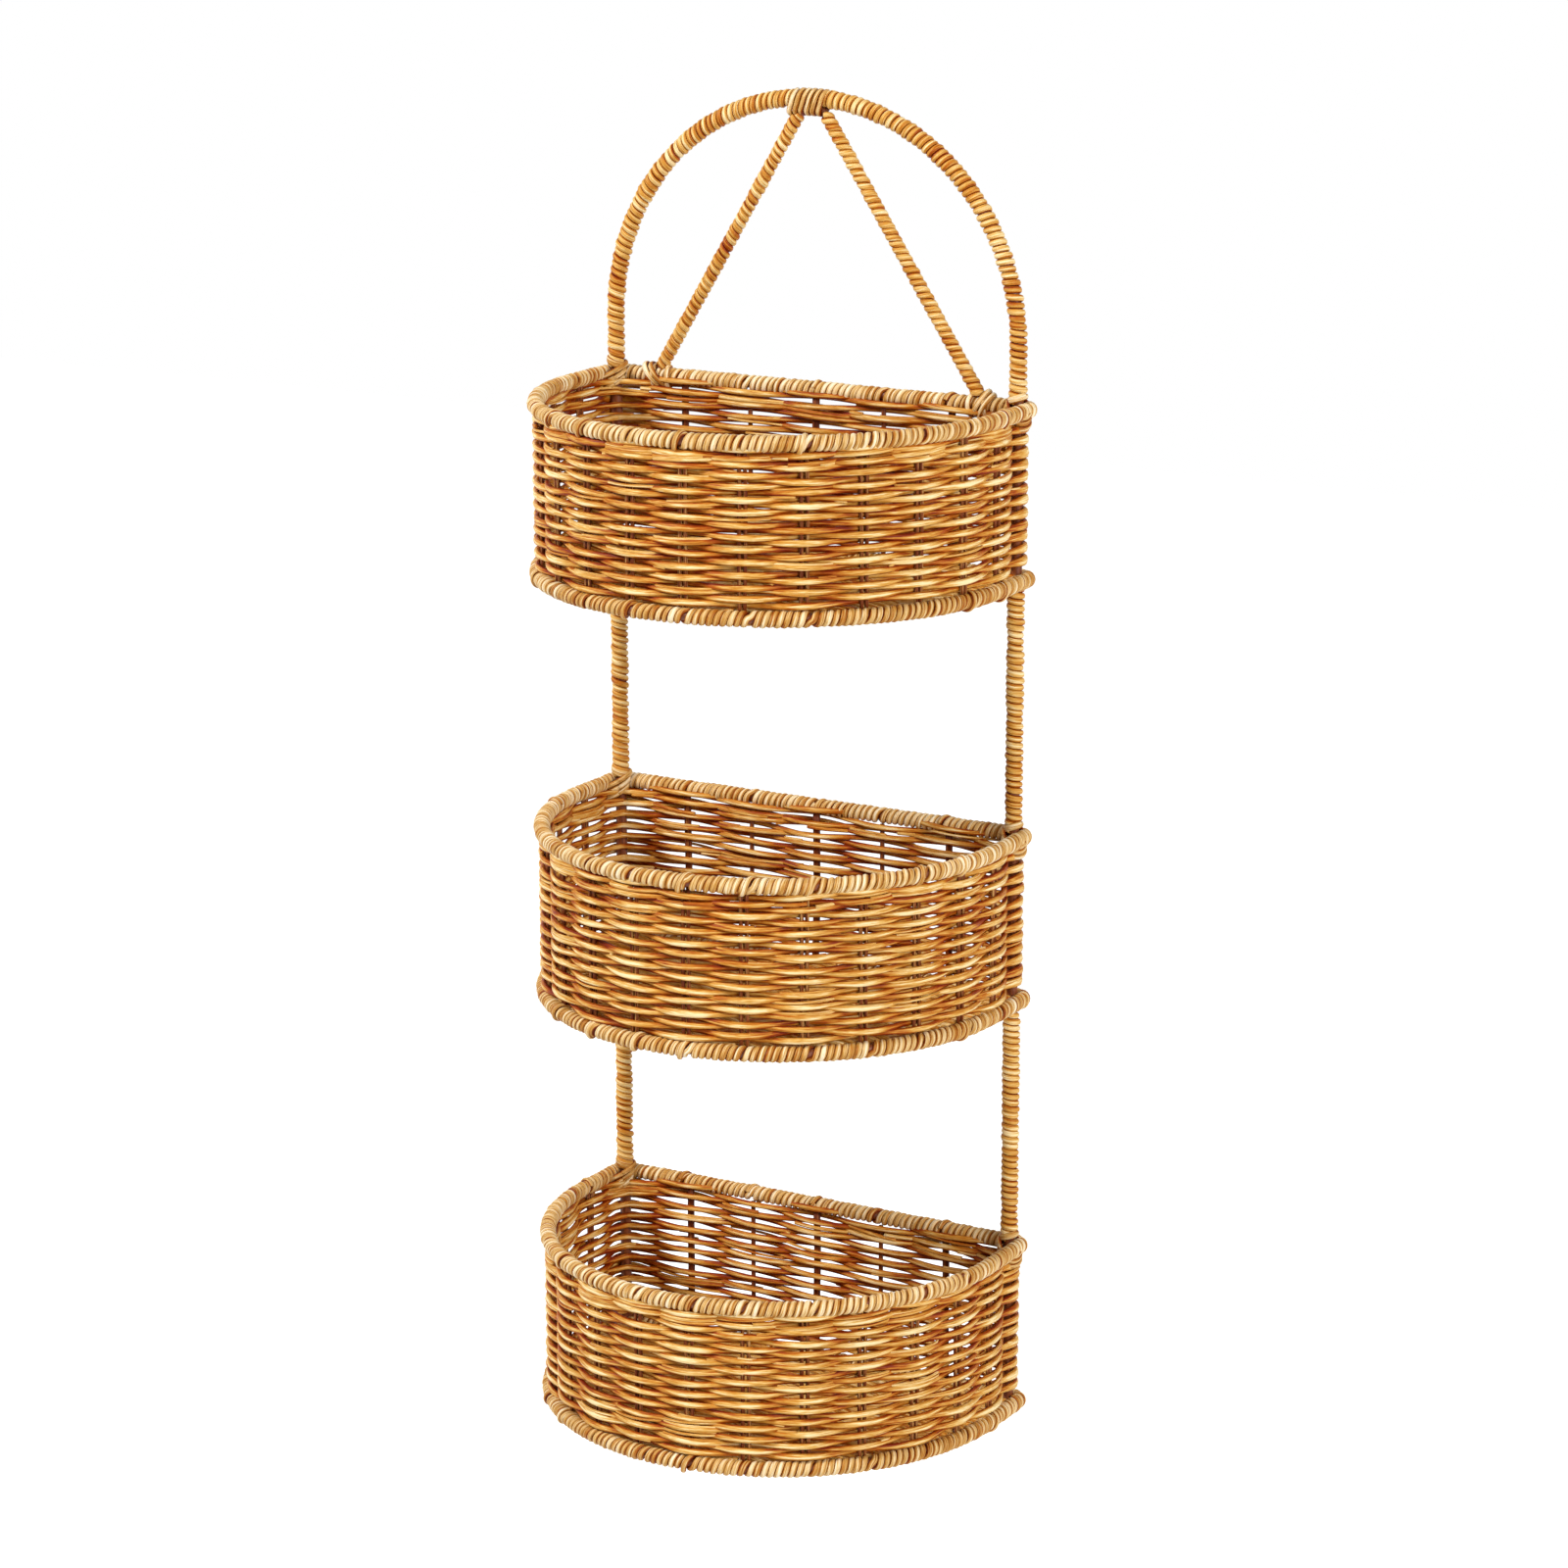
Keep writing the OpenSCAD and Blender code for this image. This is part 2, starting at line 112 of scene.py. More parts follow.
# What the frame gives
LEG_X = middle("right_upper_leg_wrap")[0]
ROD_WRAP_R = half("right_upper_leg_wrap", 0)
ROD_R = half("frame_rod", 1)
ARCH_Z = box("frame_rod")[1][2] - LEG_X - ROD_R
BRACE_TOP_Z = box("brace_rod")[1][2] - BRACE_ROD_R
BRACE_WRAP_R = BRACE_ROD_R + BRACE_STRAND_T
WIRE_R = half("top_rim_wire", 2)
RING_WRAP_R = half("top_rim_wrap", 2)
HALF_W = half("top_rim_wire", 0) - WIRE_R
BACK_Y = box("top_rim_wire")[1][1] - WIRE_R
FRONT_Y = box("top_rim_wire")[0][1] + WIRE_R
CORNER_R = HALF_W - LEG_X
SIDE_L = -FRONT_Y - HALF_W
WALL_R = HALF_W - WALL_SET_IN
WALL_Y = BACK_Y - WALL_SET_IN
RIM_Z = {tier: middle(f"{tier}_rim_wire")[2] for tier in TIERS}
BASE_Z = {tier: middle(f"{tier}_base_wire")[2] for tier in TIERS}


# Vectors and distances


def unit(v):
    return v / np.linalg.norm(v, axis=-1, keepdims=True)


def distances(points):
    """Distance along a line of points, from its start to each of them."""
    steps = np.linalg.norm(np.diff(points, axis=0), axis=1)
    return np.concatenate([[0], np.cumsum(steps)])


def square(out, way):
    """The unit vector at each point that is square to the way there and points most nearly out."""
    out = np.broadcast_to(out, way.shape)
    return unit(out - np.sum(out * way, axis=1, keepdims=True) * way)


def around(turn, first, second):
    """Vectors at angles that are counted from first towards second."""
    return np.cos(turn)[:, None] * first + np.sin(turn)[:, None] * second


# Lines that strands follow

LINE_STEP = 1 * MM
LEG_TURN_STEP = 0.5 * MM
# Radius on which a wall's middle line turns round a leg, the spread of the bell that smooths it,
# and how many spreads to each side the bell reaches
LEG_TURN_R = 6 * MM
WALL_SMOOTHING = 2 * MM
BELL_REACH = 4


class Line:
    """A line through points, with a unit vector at each that says which way is out."""

    def __init__(self, points, out):
        self.points = np.asarray(points, float)
        self.place = distances(self.points)
        self.length = self.place[-1]
        self.way = unit(np.gradient(self.points, self.place, axis=0))
        self.out = square(out, self.way)
        self.side = np.cross(self.way, self.out)

    def at(self, places):
        """Points, ways, outs and sides at places along the line."""
        return [
            np.stack([np.interp(places, self.place, values[:, axis]) for axis in range(3)], axis=1)
            for values in (self.points, self.way, self.out, self.side)
        ]

    def nearest(self, point):
        """Place along the line that lies nearest a point."""
        return self.place[np.argmin(np.linalg.norm(self.points - point, axis=1))]


def arc(centre, radius, start, end, step=LINE_STEP):
    """Points of a plane arc, from one angle to another."""
    count = max(3, int(abs(end - start) * radius / step) + 1)
    turn = np.linspace(start, end, count)
    return np.stack([centre[0] + radius * np.cos(turn), centre[1] + radius * np.sin(turn)], axis=1)


def straight(a, b):
    """Points of a plane straight, without its last one."""
    a, b = np.asarray(a, float), np.asarray(b, float)
    count = max(2, int(np.linalg.norm(b - a) / LINE_STEP) + 1)
    return a + (b - a) * np.linspace(0, 1, count, endpoint=False)[:, None]


def plane_line(points, z):
    """A line in the level plane z, with out pointing away from the basket."""
    points = np.concatenate([points, np.full((len(points), 1), z)], axis=1)
    line = Line(points, UP)
    line.out, line.side = line.side, -line.out
    return line


def ring_line(z):
    """Middle of a rim or base ring, from behind the left leg round the front and back again."""
    right = math.pi / 2
    points = np.concatenate(
        [
            straight((0, BACK_Y), (-LEG_X, BACK_Y)),
            arc((-LEG_X, 0), CORNER_R, right, 2 * right)[:-1],
            straight((-HALF_W, 0), (-HALF_W, -SIDE_L)),
            arc((0, -SIDE_L), HALF_W, 2 * right, 4 * right)[:-1],
            straight((HALF_W, -SIDE_L), (HALF_W, 0)),
            arc((LEG_X, 0), CORNER_R, 0, right)[:-1],
            straight((LEG_X, BACK_Y), (0, BACK_Y)),
            [(0, BACK_Y)],
        ]
    )
    return plane_line(points, z)


def round_leg(before, leg, after, radius):
    """Points of a line that runs from before to after and turns round a leg's axis."""
    before, leg, after = (np.asarray(p, float) for p in (before, leg, after))
    outward = -unit(unit(before - leg) + unit(after - leg))
    centre = leg - radius * outward
    ends = []
    for p in (before, after):
        reach = np.linalg.norm(p - centre)
        toward = math.atan2(*(p - centre)[::-1])
        opening = math.acos(radius / reach)
        angles = (toward - opening, toward + opening)
        ends.append(max(angles, key=lambda a: np.dot((math.cos(a), math.sin(a)), outward)))
    start, end = ends
    end = start + (end - start + math.pi) % (2 * math.pi) - math.pi
    turn = arc(centre, radius, start, end, LEG_TURN_STEP)
    return np.concatenate([straight(before, turn[0]), turn[:-1], straight(turn[-1], after)])


def smooth_loop(points, spread):
    """A closed plane line resampled in even steps and smoothed by a bell of that spread."""
    closed = np.concatenate([points, points[:1]])
    place = distances(closed)
    count = int(place[-1] / LINE_STEP)
    even = np.linspace(0, place[-1], count, endpoint=False)
    xy = np.stack([np.interp(even, place, closed[:, axis]) for axis in (0, 1)], axis=1)
    reach = int(BELL_REACH * spread / LINE_STEP)
    shifts = np.arange(-reach, reach + 1)
    bell = np.exp(-0.5 * (shifts * LINE_STEP / spread) ** 2)
    bell /= bell.sum()
    return sum(weight * np.roll(xy, -shift, axis=0) for shift, weight in zip(shifts, bell))


def front_points(shift=0):
    """Places of the front stakes, from the left leg to the right one, moved along the wall."""
    length = 2 * SIDE_L + math.pi * WALL_R
    found = []
    for i in range(1, FRONT_STAKES + 1):
        s = i * length / (FRONT_STAKES + 1) + shift
        if s <= SIDE_L:
            found.append((-WALL_R, -s))
        elif s >= length - SIDE_L:
            found.append((WALL_R, s - length))
        else:
            turn = (s - SIDE_L) / WALL_R
            found.append((-WALL_R * math.cos(turn), -SIDE_L - WALL_R * math.sin(turn)))
    return found


def stakes():
    """(x, y, radius) of all that a wall is woven round, from the left leg and counterclockwise."""
    front = [(x, y, FRONT_CANE_R) for x, y in front_points()]
    back = [
        (i * BACK_STAKE_GAP, WALL_Y, BACK_CANE_R if i % 2 == 0 else BACK_WIRE_R)
        for i in range(BACK_STAKES_A_SIDE, -BACK_STAKES_A_SIDE - 1, -1)
    ]
    return [(-LEG_X, 0, ROD_R), *front, (LEG_X, 0, ROD_R), *back]


def wall_loop():
    """Middle line of a woven wall, closed, from the left leg and counterclockwise."""
    first, last = front_points()[0], front_points()[-1]
    end_stake = BACK_STAKES_A_SIDE * BACK_STAKE_GAP
    right_turn = round_leg(last, (LEG_X, 0), (end_stake, WALL_Y), LEG_TURN_R)
    left_turn = round_leg((-end_stake, WALL_Y), (-LEG_X, 0), first, LEG_TURN_R)
    front = arc((0, -SIDE_L), WALL_R, math.pi, 2 * math.pi)
    back = straight((end_stake, WALL_Y), (-end_stake, WALL_Y))
    points = smooth_loop(np.concatenate([front, right_turn, back, left_turn]), WALL_SMOOTHING)
    start = np.argmin(np.linalg.norm(points - (-LEG_X, 0), axis=1))
    points = np.roll(points, -start, axis=0)
    return plane_line(np.concatenate([points, points[:1]]), 0)


# Strands

SECTION_SIDES = 8
# Length of strand over which the grain runs through one step of its noise, and how far apart in
# the noise strands may start
GRAIN_LENGTH = 30 * MM
GRAIN_SPREAD = 40

# Painted shade in the grooves between strands that lie tight beside others: how much darker such
# a strand gets from its crown to its sides, and how near its crown it has its own tone, as a
# cosine;
# nearer its crown it gets paler, as a painted highlight
PAINTED_GROOVE_SHADE = 0.65
GROOVE_LEVEL = 0.7


def wander(rng, place, every, size):
    """A smooth random wander along a strand."""
    aims = rng.standard_normal(int(place[-1] / every) + 5)
    spot = place / every + 1
    i = spot.astype(int)
    f = spot - i
    a, b, c, d = aims[i - 1], aims[i], aims[i + 1], aims[i + 2]
    curve = b + 0.5 * f * (c - a + f * (2 * a - 5 * b + 4 * c - d + f * (3 * (b - c) + d - a)))
    return size * curve


def section_turn(sides):
    """Angle of each side of a strand's section, from its crown."""
    return 2 * math.pi * np.arange(sides) / sides


def with_painted_groove_shade(tone):
    """Tones with painted shade at the sides over the section of a strand tight beside others, from
    one or many tones.
    """
    crown = np.cos(section_turn(SECTION_SIDES))
    return np.atleast_1d(tone)[:, None] + PAINTED_GROOVE_SHADE * (crown - GROOVE_LEVEL)


class Strands:
    """Collects tubes of oval section into one mesh, with what the materials read."""

    def __init__(self, seed):
        self.rng = np.random.default_rng(seed)
        self.points, self.loops, self.starts = [], [], []
        self.tone, self.grain = [], []
        self.count, self.loop_count = 0, 0

    def add(self, points, out, half_w, half_t, tone, sides=SECTION_SIDES):
        """One closed tube. half_t is measured along out and half_w across it.

        There is one tone for all, one for each point, or one for each point and side.
        """
        points = np.asarray(points, float)
        n = len(points)
        way = unit(np.gradient(points, axis=0))
        out = square(out, way)
        side = np.cross(way, out)
        turn = section_turn(sides)
        half_w = np.broadcast_to(half_w, n)[:, None, None]
        half_t = np.broadcast_to(half_t, n)[:, None, None]
        c, s = np.cos(turn)[None, :, None], np.sin(turn)[None, :, None]
        rings = points[:, None] + half_t * c * out[:, None] + half_w * s * side[:, None]
        self.points.append(rings.reshape(-1, 3))

        i = np.arange(n - 1)[:, None] * sides
        j = np.arange(sides)[None]
        k = (j + 1) % sides
        quads = np.stack([i + j, i + k, i + sides + k, i + sides + j], axis=-1).reshape(-1, 4)
        caps = np.concatenate([np.arange(sides)[::-1], np.arange(sides) + (n - 1) * sides])
        self.loops += [quads.ravel() + self.count, caps + self.count]
        quad_starts = self.loop_count + 4 * np.arange(len(quads))
        cap_start = self.loop_count + 4 * len(quads)
        self.starts += [quad_starts, np.array([cap_start, cap_start + sides])]
        self.count += n * sides
        self.loop_count = cap_start + 2 * sides

        tone = np.asarray(tone, float)
        tone = tone[:, None] if tone.ndim == 1 else tone
        self.tone.append(np.broadcast_to(tone, (n, sides)).ravel())
        offset = self.rng.uniform(-GRAIN_SPREAD, GRAIN_SPREAD, 3)
        grain = np.empty((n, sides, 3))
        grain[..., 0] = distances(points)[:, None] / GRAIN_LENGTH + offset[0]
        grain[..., 1] = np.cos(turn)[None] + offset[1]
        grain[..., 2] = np.sin(turn)[None] + offset[2]
        self.grain.append(grain.reshape(-1, 3))

    def build(self, name, material, slot, *nodes):
        """Makes the piece, which stands for CAD nodes."""
        points, loops, starts = (np.concatenate(v) for v in (self.points, self.loops, self.starts))
        mesh = bpy.data.meshes.new(name)
        mesh.vertices.add(len(points))
        mesh.vertices.foreach_set("co", points.astype(np.float32).ravel())
        mesh.loops.add(len(loops))
        mesh.loops.foreach_set("vertex_index", loops.astype(np.int32))
        mesh.polygons.add(len(starts))
        mesh.polygons.foreach_set("loop_start", starts.astype(np.int32))
        mesh.update(calc_edges=True)
        mesh.validate()
        mesh.polygons.foreach_set("use_smooth", np.ones(len(starts), bool))
        tone = mesh.attributes.new("tone", "FLOAT", "POINT")
        tone.data.foreach_set("value", np.concatenate(self.tone).astype(np.float32))
        grain = mesh.attributes.new("grain", "FLOAT_VECTOR", "POINT")
        grain.data.foreach_set("vector", np.concatenate(self.grain).astype(np.float32).ravel())
        mesh.materials.append(material)
        piece = bpy.data.objects.new(name, mesh)
        bpy.context.scene.collection.objects.link(piece)
        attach(piece, "root")
        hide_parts(*nodes)


# Bound strand

# Distance from one turn to the next
ARCH_PITCH = 3.55 * MM
LEG_PITCH = 3.45 * MM
BRACE_PITCH = 3.75 * MM
RING_PITCH = 3.55 * MM

# Strands wound side by side
ROD_STRANDS = {"left": 2, "right": 1}
BRACE_STRANDS = 2
RING_STRANDS = 2

POINTS_A_TURN = 16
# Half a turn's width as a share of the pitch, the wanders of its thickness and width as shares
# of themselves, and how far apart the aims are of its bumps and of its tone, short and long
TURN_HALF_W = 0.495
TURN_T_WANDER = (35 * MM, 0.05)
TURN_W_WANDER = (30 * MM, 0.06)
TURN_BUMPS_EVERY = 22 * MM
TURN_TONE_EVERY = 26 * MM
TURN_LONG_TONE_EVERY = 160 * MM
TURN_LONG_TONE = 0.6

# Mean and variation of the tone, and size of the bumps
WRAP_TONE = (0.53, 0.1)
WRAP_BUMPS = 0.1 * MM
ARCH_BUMPS = 0.15 * MM
LEG_BUMPS = 0.2 * MM

# Slips, where turns were wound less tightly: one in each such length, where in it as a share, how
# far it opens the turns at most, which share of that, and over which length
SLIP_EVERY = 70 * MM
SLIP_SHIFT = (0.2, 0.8)
SLIP_SPREAD = 1 * MM
SLIP_SHARE = (0.4, 1)
SLIP_LENGTH = 5 * MM


def wind(strands, line, outer_r, pitch, starts, slips, tone=WRAP_TONE, bumps=WRAP_BUMPS):
    """Winds strand left-handed along a line. A slip is (place, how far it opens, length)."""
    rng = strands.rng
    lead = pitch * starts
    place = np.linspace(0, line.length, int(line.length / lead * POINTS_A_TURN) + 1)
    phase = place / lead
    for slip, spread, length in slips:
        f = np.clip((place - slip) / length + 0.5, 0, 1)
        phase = phase - spread / lead * f * f * (3 - 2 * f)
    centre, _, out, side = line.at(place)
    travel = phase * math.sqrt((2 * math.pi * outer_r) ** 2 + lead**2)
    for e in range(starts):
        radial = around(-2 * math.pi * (phase + e / starts), out, side)
        half_t = TURN_HALF_T * (1 + wander(rng, travel, *TURN_T_WANDER))
        reach = outer_r - TURN_HALF_T + wander(rng, travel, TURN_BUMPS_EVERY, bumps)
        half_w = TURN_HALF_W * pitch * (1 + wander(rng, travel, *TURN_W_WANDER))
        shade = tone[0] + wander(rng, travel, TURN_TONE_EVERY, tone[1])
        shade = shade + wander(rng, travel, TURN_LONG_TONE_EVERY, TURN_LONG_TONE * tone[1])
        # Tones with painted shade in the grooves between the turns
        strands.add(centre + reach[:, None] * radial, radial, half_w, half_t, with_painted_groove_shade(shade))


def random_slips(rng, length):
    """Slips here and there over a length of bound strand."""
    count = int(length / SLIP_EVERY)
    spots = (np.arange(count) + rng.uniform(*SLIP_SHIFT, count)) * SLIP_EVERY
    return [(spot, SLIP_SPREAD * rng.uniform(*SLIP_SHARE), SLIP_LENGTH) for spot in spots]


# Lashings

LOOP_POINTS = 24
# Length of strand over which a loop's tone wanders, and how far apart its aims are
LOOP_TRAVEL = 300 * MM
LOOP_TONE_EVERY = 30 * MM

# A tie leaves the ring and comes back: its turns from the ring's outer side, and its height over
# the ring's strand as a share of a turn's half thickness
TIE_TURNS = (-0.25, 1.35)
TIE_POINTS = 40
TIE_HEIGHT = 0.35

# A crossing turn lies aslant over the others: its half turns, from the ring's inner side over
# its outer side to below it, and its depth in them as a share of a lashing's half thickness
ASLANT_HALF_TURNS = (0.9, -0.65)
ASLANT_POINTS = 30
ASLANT_DEPTH = 0.2


def tight_loop(first, second, across, along, turns, pitch, clear):
    """Points of loops drawn tight round two members, each (point on its axis, way, radius)."""
    normal = np.cross(across, along)
    stretch = 1 / min(abs(first[1] @ normal), abs(second[1] @ normal))
    i = np.arange(int(turns * LOOP_POINTS) + 1)
    off = first[0] @ normal + pitch * (i / LOOP_POINTS - turns / 2)
    turn = 2 * math.pi * i / LOOP_POINTS
    ways = np.stack([np.cos(turn), np.sin(turn)], axis=1)
    found = []
    for axis, way, radius in (first, second):
        p = axis + way * ((off - axis @ normal) / (way @ normal))[:, None]
        centre = np.stack([p @ across, p @ along / stretch], axis=1)
        found.append((centre + (radius + clear) * ways, np.sum(centre * ways, axis=1) + radius))
    (a, reach_a), (b, reach_b) = found
    plane = np.where((reach_a > reach_b)[:, None], a, b)
    points = plane[:, :1] * across + stretch * plane[:, 1:] * along + off[:, None] * normal
    return points, around(turn, across, along)


def add_lashing(strands, points, out, tone):
    # Tones with painted shade in the grooves between the turns
    strands.add(points, out, LASH_HALF_W, LASH_HALF_T, with_painted_groove_shade(tone))


def loop_tone(rng, count, mean, size):
    """Tones of the points of a tight loop."""
    return mean + wander(rng, np.linspace(0, LOOP_TRAVEL, count), LOOP_TONE_EVERY, size)


def turn_round_ring(strands, line, turn, places, reach, drop, tone):
    """A lashing's turn round a ring and round what lies drop below it."""
    centre, _, out, _ = line.at(np.clip(places, 0, line.length))
    height = np.sin(turn) * (reach + drop * (np.sin(turn) < 0))
    points = centre + (reach * np.cos(turn))[:, None] * out + height[:, None] * UP
    add_lashing(strands, points, unit(around(turn, out, UP)), tone)


def tie_loop(strands, line, spot, drop, lean, tone):
    """A turn that leaves the ring, goes down round what lies drop below it, and comes back."""
    turn = np.linspace(*TIE_TURNS, TIE_POINTS) * 2 * math.pi
    places = spot - lean * np.sin(turn / 2) * np.sign(np.cos(turn / 4))
    reach = RING_WRAP_R + TIE_HEIGHT * TURN_HALF_T
    turn_round_ring(strands, line, turn, places, reach, drop, tone)


def cross_turn(strands, line, spot, drop, lean, tone):
    """A turn laid aslant over a ring's own turns, which ends drop below the ring."""
    turn = np.linspace(*ASLANT_HALF_TURNS, ASLANT_POINTS) * math.pi
    places = spot + np.linspace(0.5, -0.5, ASLANT_POINTS) * lean
    reach = RING_WRAP_R - ASLANT_DEPTH * LASH_HALF_T
    turn_round_ring(strands, line, turn, places, reach, drop, tone)


# Materials

# Noise: scale, detail and roughness. Streaks and fibres are stretched by the three factors, in
# rattan along the strand and twice across it. A shift is how far the noise moves the tone.
PATCH_NOISE = (0.7, 2, 0.5)
PATCH_SHIFT = 0.3
STREAK_STRETCH = (2.4, 1.8, 1.8)
STREAK_NOISE = (1, 3, 0.65)
STREAK_SHIFT = 0.95
FIBRE_STRETCH = (1.5, 9, 9)
FIBRE_NOISE = (1, 2, 0.6)
FIBRE_SHIFT = 0.45
ROD_STRETCH = (900, 900, 120)
ROD_NOISE = (1, 3, 0.5)

RATTAN_ROUGHNESS = 0.45
RATTAN_ROUGHNESS_SHIFT = 0.12
RATTAN_SPECULAR = 0.16
RELIEF_STRENGTH = 0.5
RELIEF_HEIGHT = 0.25 * MM

ROD_ROUGHNESS = 0.5
ROD_ROUGHNESS_SHIFT = 0.1

# Colours from dark to pale, each at its place between 0 and 1
GOLD_COLOURS = (
    (0, "#7a2000"), (0.25, "#ad5204"), (0.5, "#c98a2e"), (0.75, "#e2b462"), (1, "#f8e2ae")
)
PALE_COLOURS = (
    (0, "#7a2a02"), (0.25, "#a65c10"), (0.5, "#c29042"), (0.75, "#e4c084"), (1, "#f8e8c6")
)
CANE_COLOURS = ((0, "#3c1608"), (0.4, "#6b2d12"), (0.7, "#8e4a20"), (1, "#d9ac66"))
BARE_ROD_COLOURS = ((0.3, "#5a2206"), (0.7, "#8e4816"))


def linear(code):
    """Linear colour of a hexadecimal screen colour, with full cover."""
    parts = [int(code[i : i + 2], 16) / 255 for i in (1, 3, 5)]
    return *(c / 12.92 if c <= 0.04045 else ((c + 0.055) / 1.055) ** 2.4 for c in parts), 1


class Nodes:
    """A material's node tree, with short ways to add and link nodes."""

    def __init__(self, name):
        self.material = bpy.data.materials.new(name)
        self.material.use_nodes = True
        self.tree = self.material.node_tree
        self.shader = self.tree.nodes["Principled BSDF"]

    def add(self, kind, **values):
        node = self.tree.nodes.new(kind)
        for key, value in values.items():
            setattr(node, key, value)
        return node

    def link(self, source, target):
        self.tree.links.new(source, target)

    def noise(self, vector, scale, detail, roughness):
        node = self.add("ShaderNodeTexNoise")
        node.inputs["Scale"].default_value = scale
        node.inputs["Detail"].default_value = detail
        node.inputs["Roughness"].default_value = roughness
        self.link(vector, node.inputs["Vector"])
        return node.outputs["Fac"]

    def sum(self, a, b):
        node = self.add("ShaderNodeMath", operation="ADD")
        self.link(a, node.inputs[0])
        self.link(b, node.inputs[1])
        return node.outputs[0]

    def spread(self, value, mean, shift):
        """Maps 0 to 1 onto as far as shift below and above the mean."""
        node = self.add("ShaderNodeMapRange")
        node.inputs["To Min"].default_value = mean - shift
        node.inputs["To Max"].default_value = mean + shift
        self.link(value, node.inputs["Value"])
        return node.outputs["Result"]

    def stretch(self, vector, factors):
        node = self.add("ShaderNodeVectorMath", operation="MULTIPLY")
        node.inputs[1].default_value = factors
        self.link(vector, node.inputs[0])
        return node.outputs["Vector"]

    def colour(self, value, stops):
        """Gives the shader a colour from dark to pale, as the value says."""
        node = self.add("ShaderNodeValToRGB")
        elements = node.color_ramp.elements
        while len(elements) > 1:
            elements.remove(elements[-1])
        elements[0].position, elements[0].color = stops[0][0], linear(stops[0][1])
        for position, code in stops[1:]:
            elements.new(position).color = linear(code)
        self.link(value, node.inputs["Fac"])
        self.link(node.outputs["Color"], self.shader.inputs["Base Color"])


def strand_material(name, stops):
    """Rattan whose patches, streaks and fibres follow the strand."""
    nodes = Nodes(name)
    vector = nodes.add("ShaderNodeAttribute", attribute_name="grain").outputs["Vector"]
    tone = nodes.add("ShaderNodeAttribute", attribute_name="tone").outputs["Fac"]
    patches = nodes.noise(vector, *PATCH_NOISE)
    streaks = nodes.noise(nodes.stretch(vector, STREAK_STRETCH), *STREAK_NOISE)
    fibres = nodes.noise(nodes.stretch(vector, FIBRE_STRETCH), *FIBRE_NOISE)
    noises = ((patches, PATCH_SHIFT), (streaks, STREAK_SHIFT), (fibres, FIBRE_SHIFT))
    for noise, shift in noises:
        tone = nodes.sum(tone, nodes.spread(noise, 0, shift))
    nodes.colour(tone, stops)
    roughness = nodes.spread(streaks, RATTAN_ROUGHNESS, RATTAN_ROUGHNESS_SHIFT)
    nodes.link(roughness, nodes.shader.inputs["Roughness"])
    nodes.shader.inputs["Specular IOR Level"].default_value = RATTAN_SPECULAR
    bump = nodes.add("ShaderNodeBump")
    bump.inputs["Strength"].default_value = RELIEF_STRENGTH
    bump.inputs["Distance"].default_value = RELIEF_HEIGHT
    nodes.link(nodes.sum(fibres, streaks), bump.inputs["Height"])
    nodes.link(bump.outputs["Normal"], nodes.shader.inputs["Normal"])
    return nodes.material


def rod_material(name, stops):
    """Stained rod, with streaks and wear in place of fibres."""
    nodes = Nodes(name)
    place = nodes.add("ShaderNodeTexCoord").outputs["Object"]
    streaks = nodes.noise(nodes.stretch(place, ROD_STRETCH), *ROD_NOISE)
    nodes.colour(streaks, stops)
    roughness = nodes.spread(streaks, ROD_ROUGHNESS, ROD_ROUGHNESS_SHIFT)
    nodes.link(roughness, nodes.shader.inputs["Roughness"])
    return nodes.material


GOLD = strand_material("rattan_gold", GOLD_COLOURS)
PALE = strand_material("rattan_pale", PALE_COLOURS)
CANE = strand_material("rattan_cane", CANE_COLOURS)
BARE_ROD = rod_material("bare_rod", BARE_ROD_COLOURS)


# Arch and legs

ARCH_POINTS = 160
ARCH_FOOT_POINTS = 30
LEG_POINTS = 40

# Turns at the top of the arch
APEX_LEAN = math.radians(24)
APEX_TURNS = 6
APEX_PITCH = 3.1 * MM
APEX_HALF_T = 1.4 * MM
APEX_TONE = (0.5, 0.18)


def bind_rod(name, seed, x, z, pitch, starts, bumps):
    """Strand bound round a length of the frame rod, whose middle runs through those x and z."""
    line = Line(np.stack([x, np.zeros_like(x), z], axis=1), TO_ROOM)
    strands = Strands(seed)
    slips = random_slips(strands.rng, line.length)
    wind(strands, line, ROD_WRAP_R, pitch, starts, slips, bumps=bumps)
    strands.build(f"{name}_strand", GOLD, "gold_strand", f"{name}_wrap")


def dress_frame():
    """Strand on the arch and the legs, up to the bare top of the arch."""
    bare_top = math.asin((BRACE_TOP_HALF + BRACE_ROD_R) / LEG_X)
    for number, (side, sign) in enumerate(SIDES.items()):
        foot_z = RIM_Z["top"] + RING_WRAP_R
        below = np.linspace(foot_z, ARCH_Z, ARCH_FOOT_POINTS, endpoint=False)
        turn = np.linspace(0, math.pi / 2 - bare_top, ARCH_POINTS)
        x = np.concatenate([np.full_like(below, sign * LEG_X), sign * LEG_X * np.cos(turn)])
        z = np.concatenate([below, ARCH_Z + LEG_X * np.sin(turn)])
        starts = ROD_STRANDS[side]
        seed = SEEDS["arch"] + number
        bind_rod(f"{side}_arch", seed, x, z, ARCH_PITCH, starts, ARCH_BUMPS)
        for part, above, under in (("upper", "top", "middle"), ("lower", "middle", "bottom")):
            z = np.linspace(RIM_Z[under] + RING_WRAP_R, BASE_Z[above] - RING_WRAP_R, LEG_POINTS)
            x = np.full_like(z, sign * LEG_X)
            seed = SEEDS["leg"] + 2 * number + (part == "lower")
            bind_rod(f"{side}_{part}_leg", seed, x, z, LEG_PITCH, starts, LEG_BUMPS)


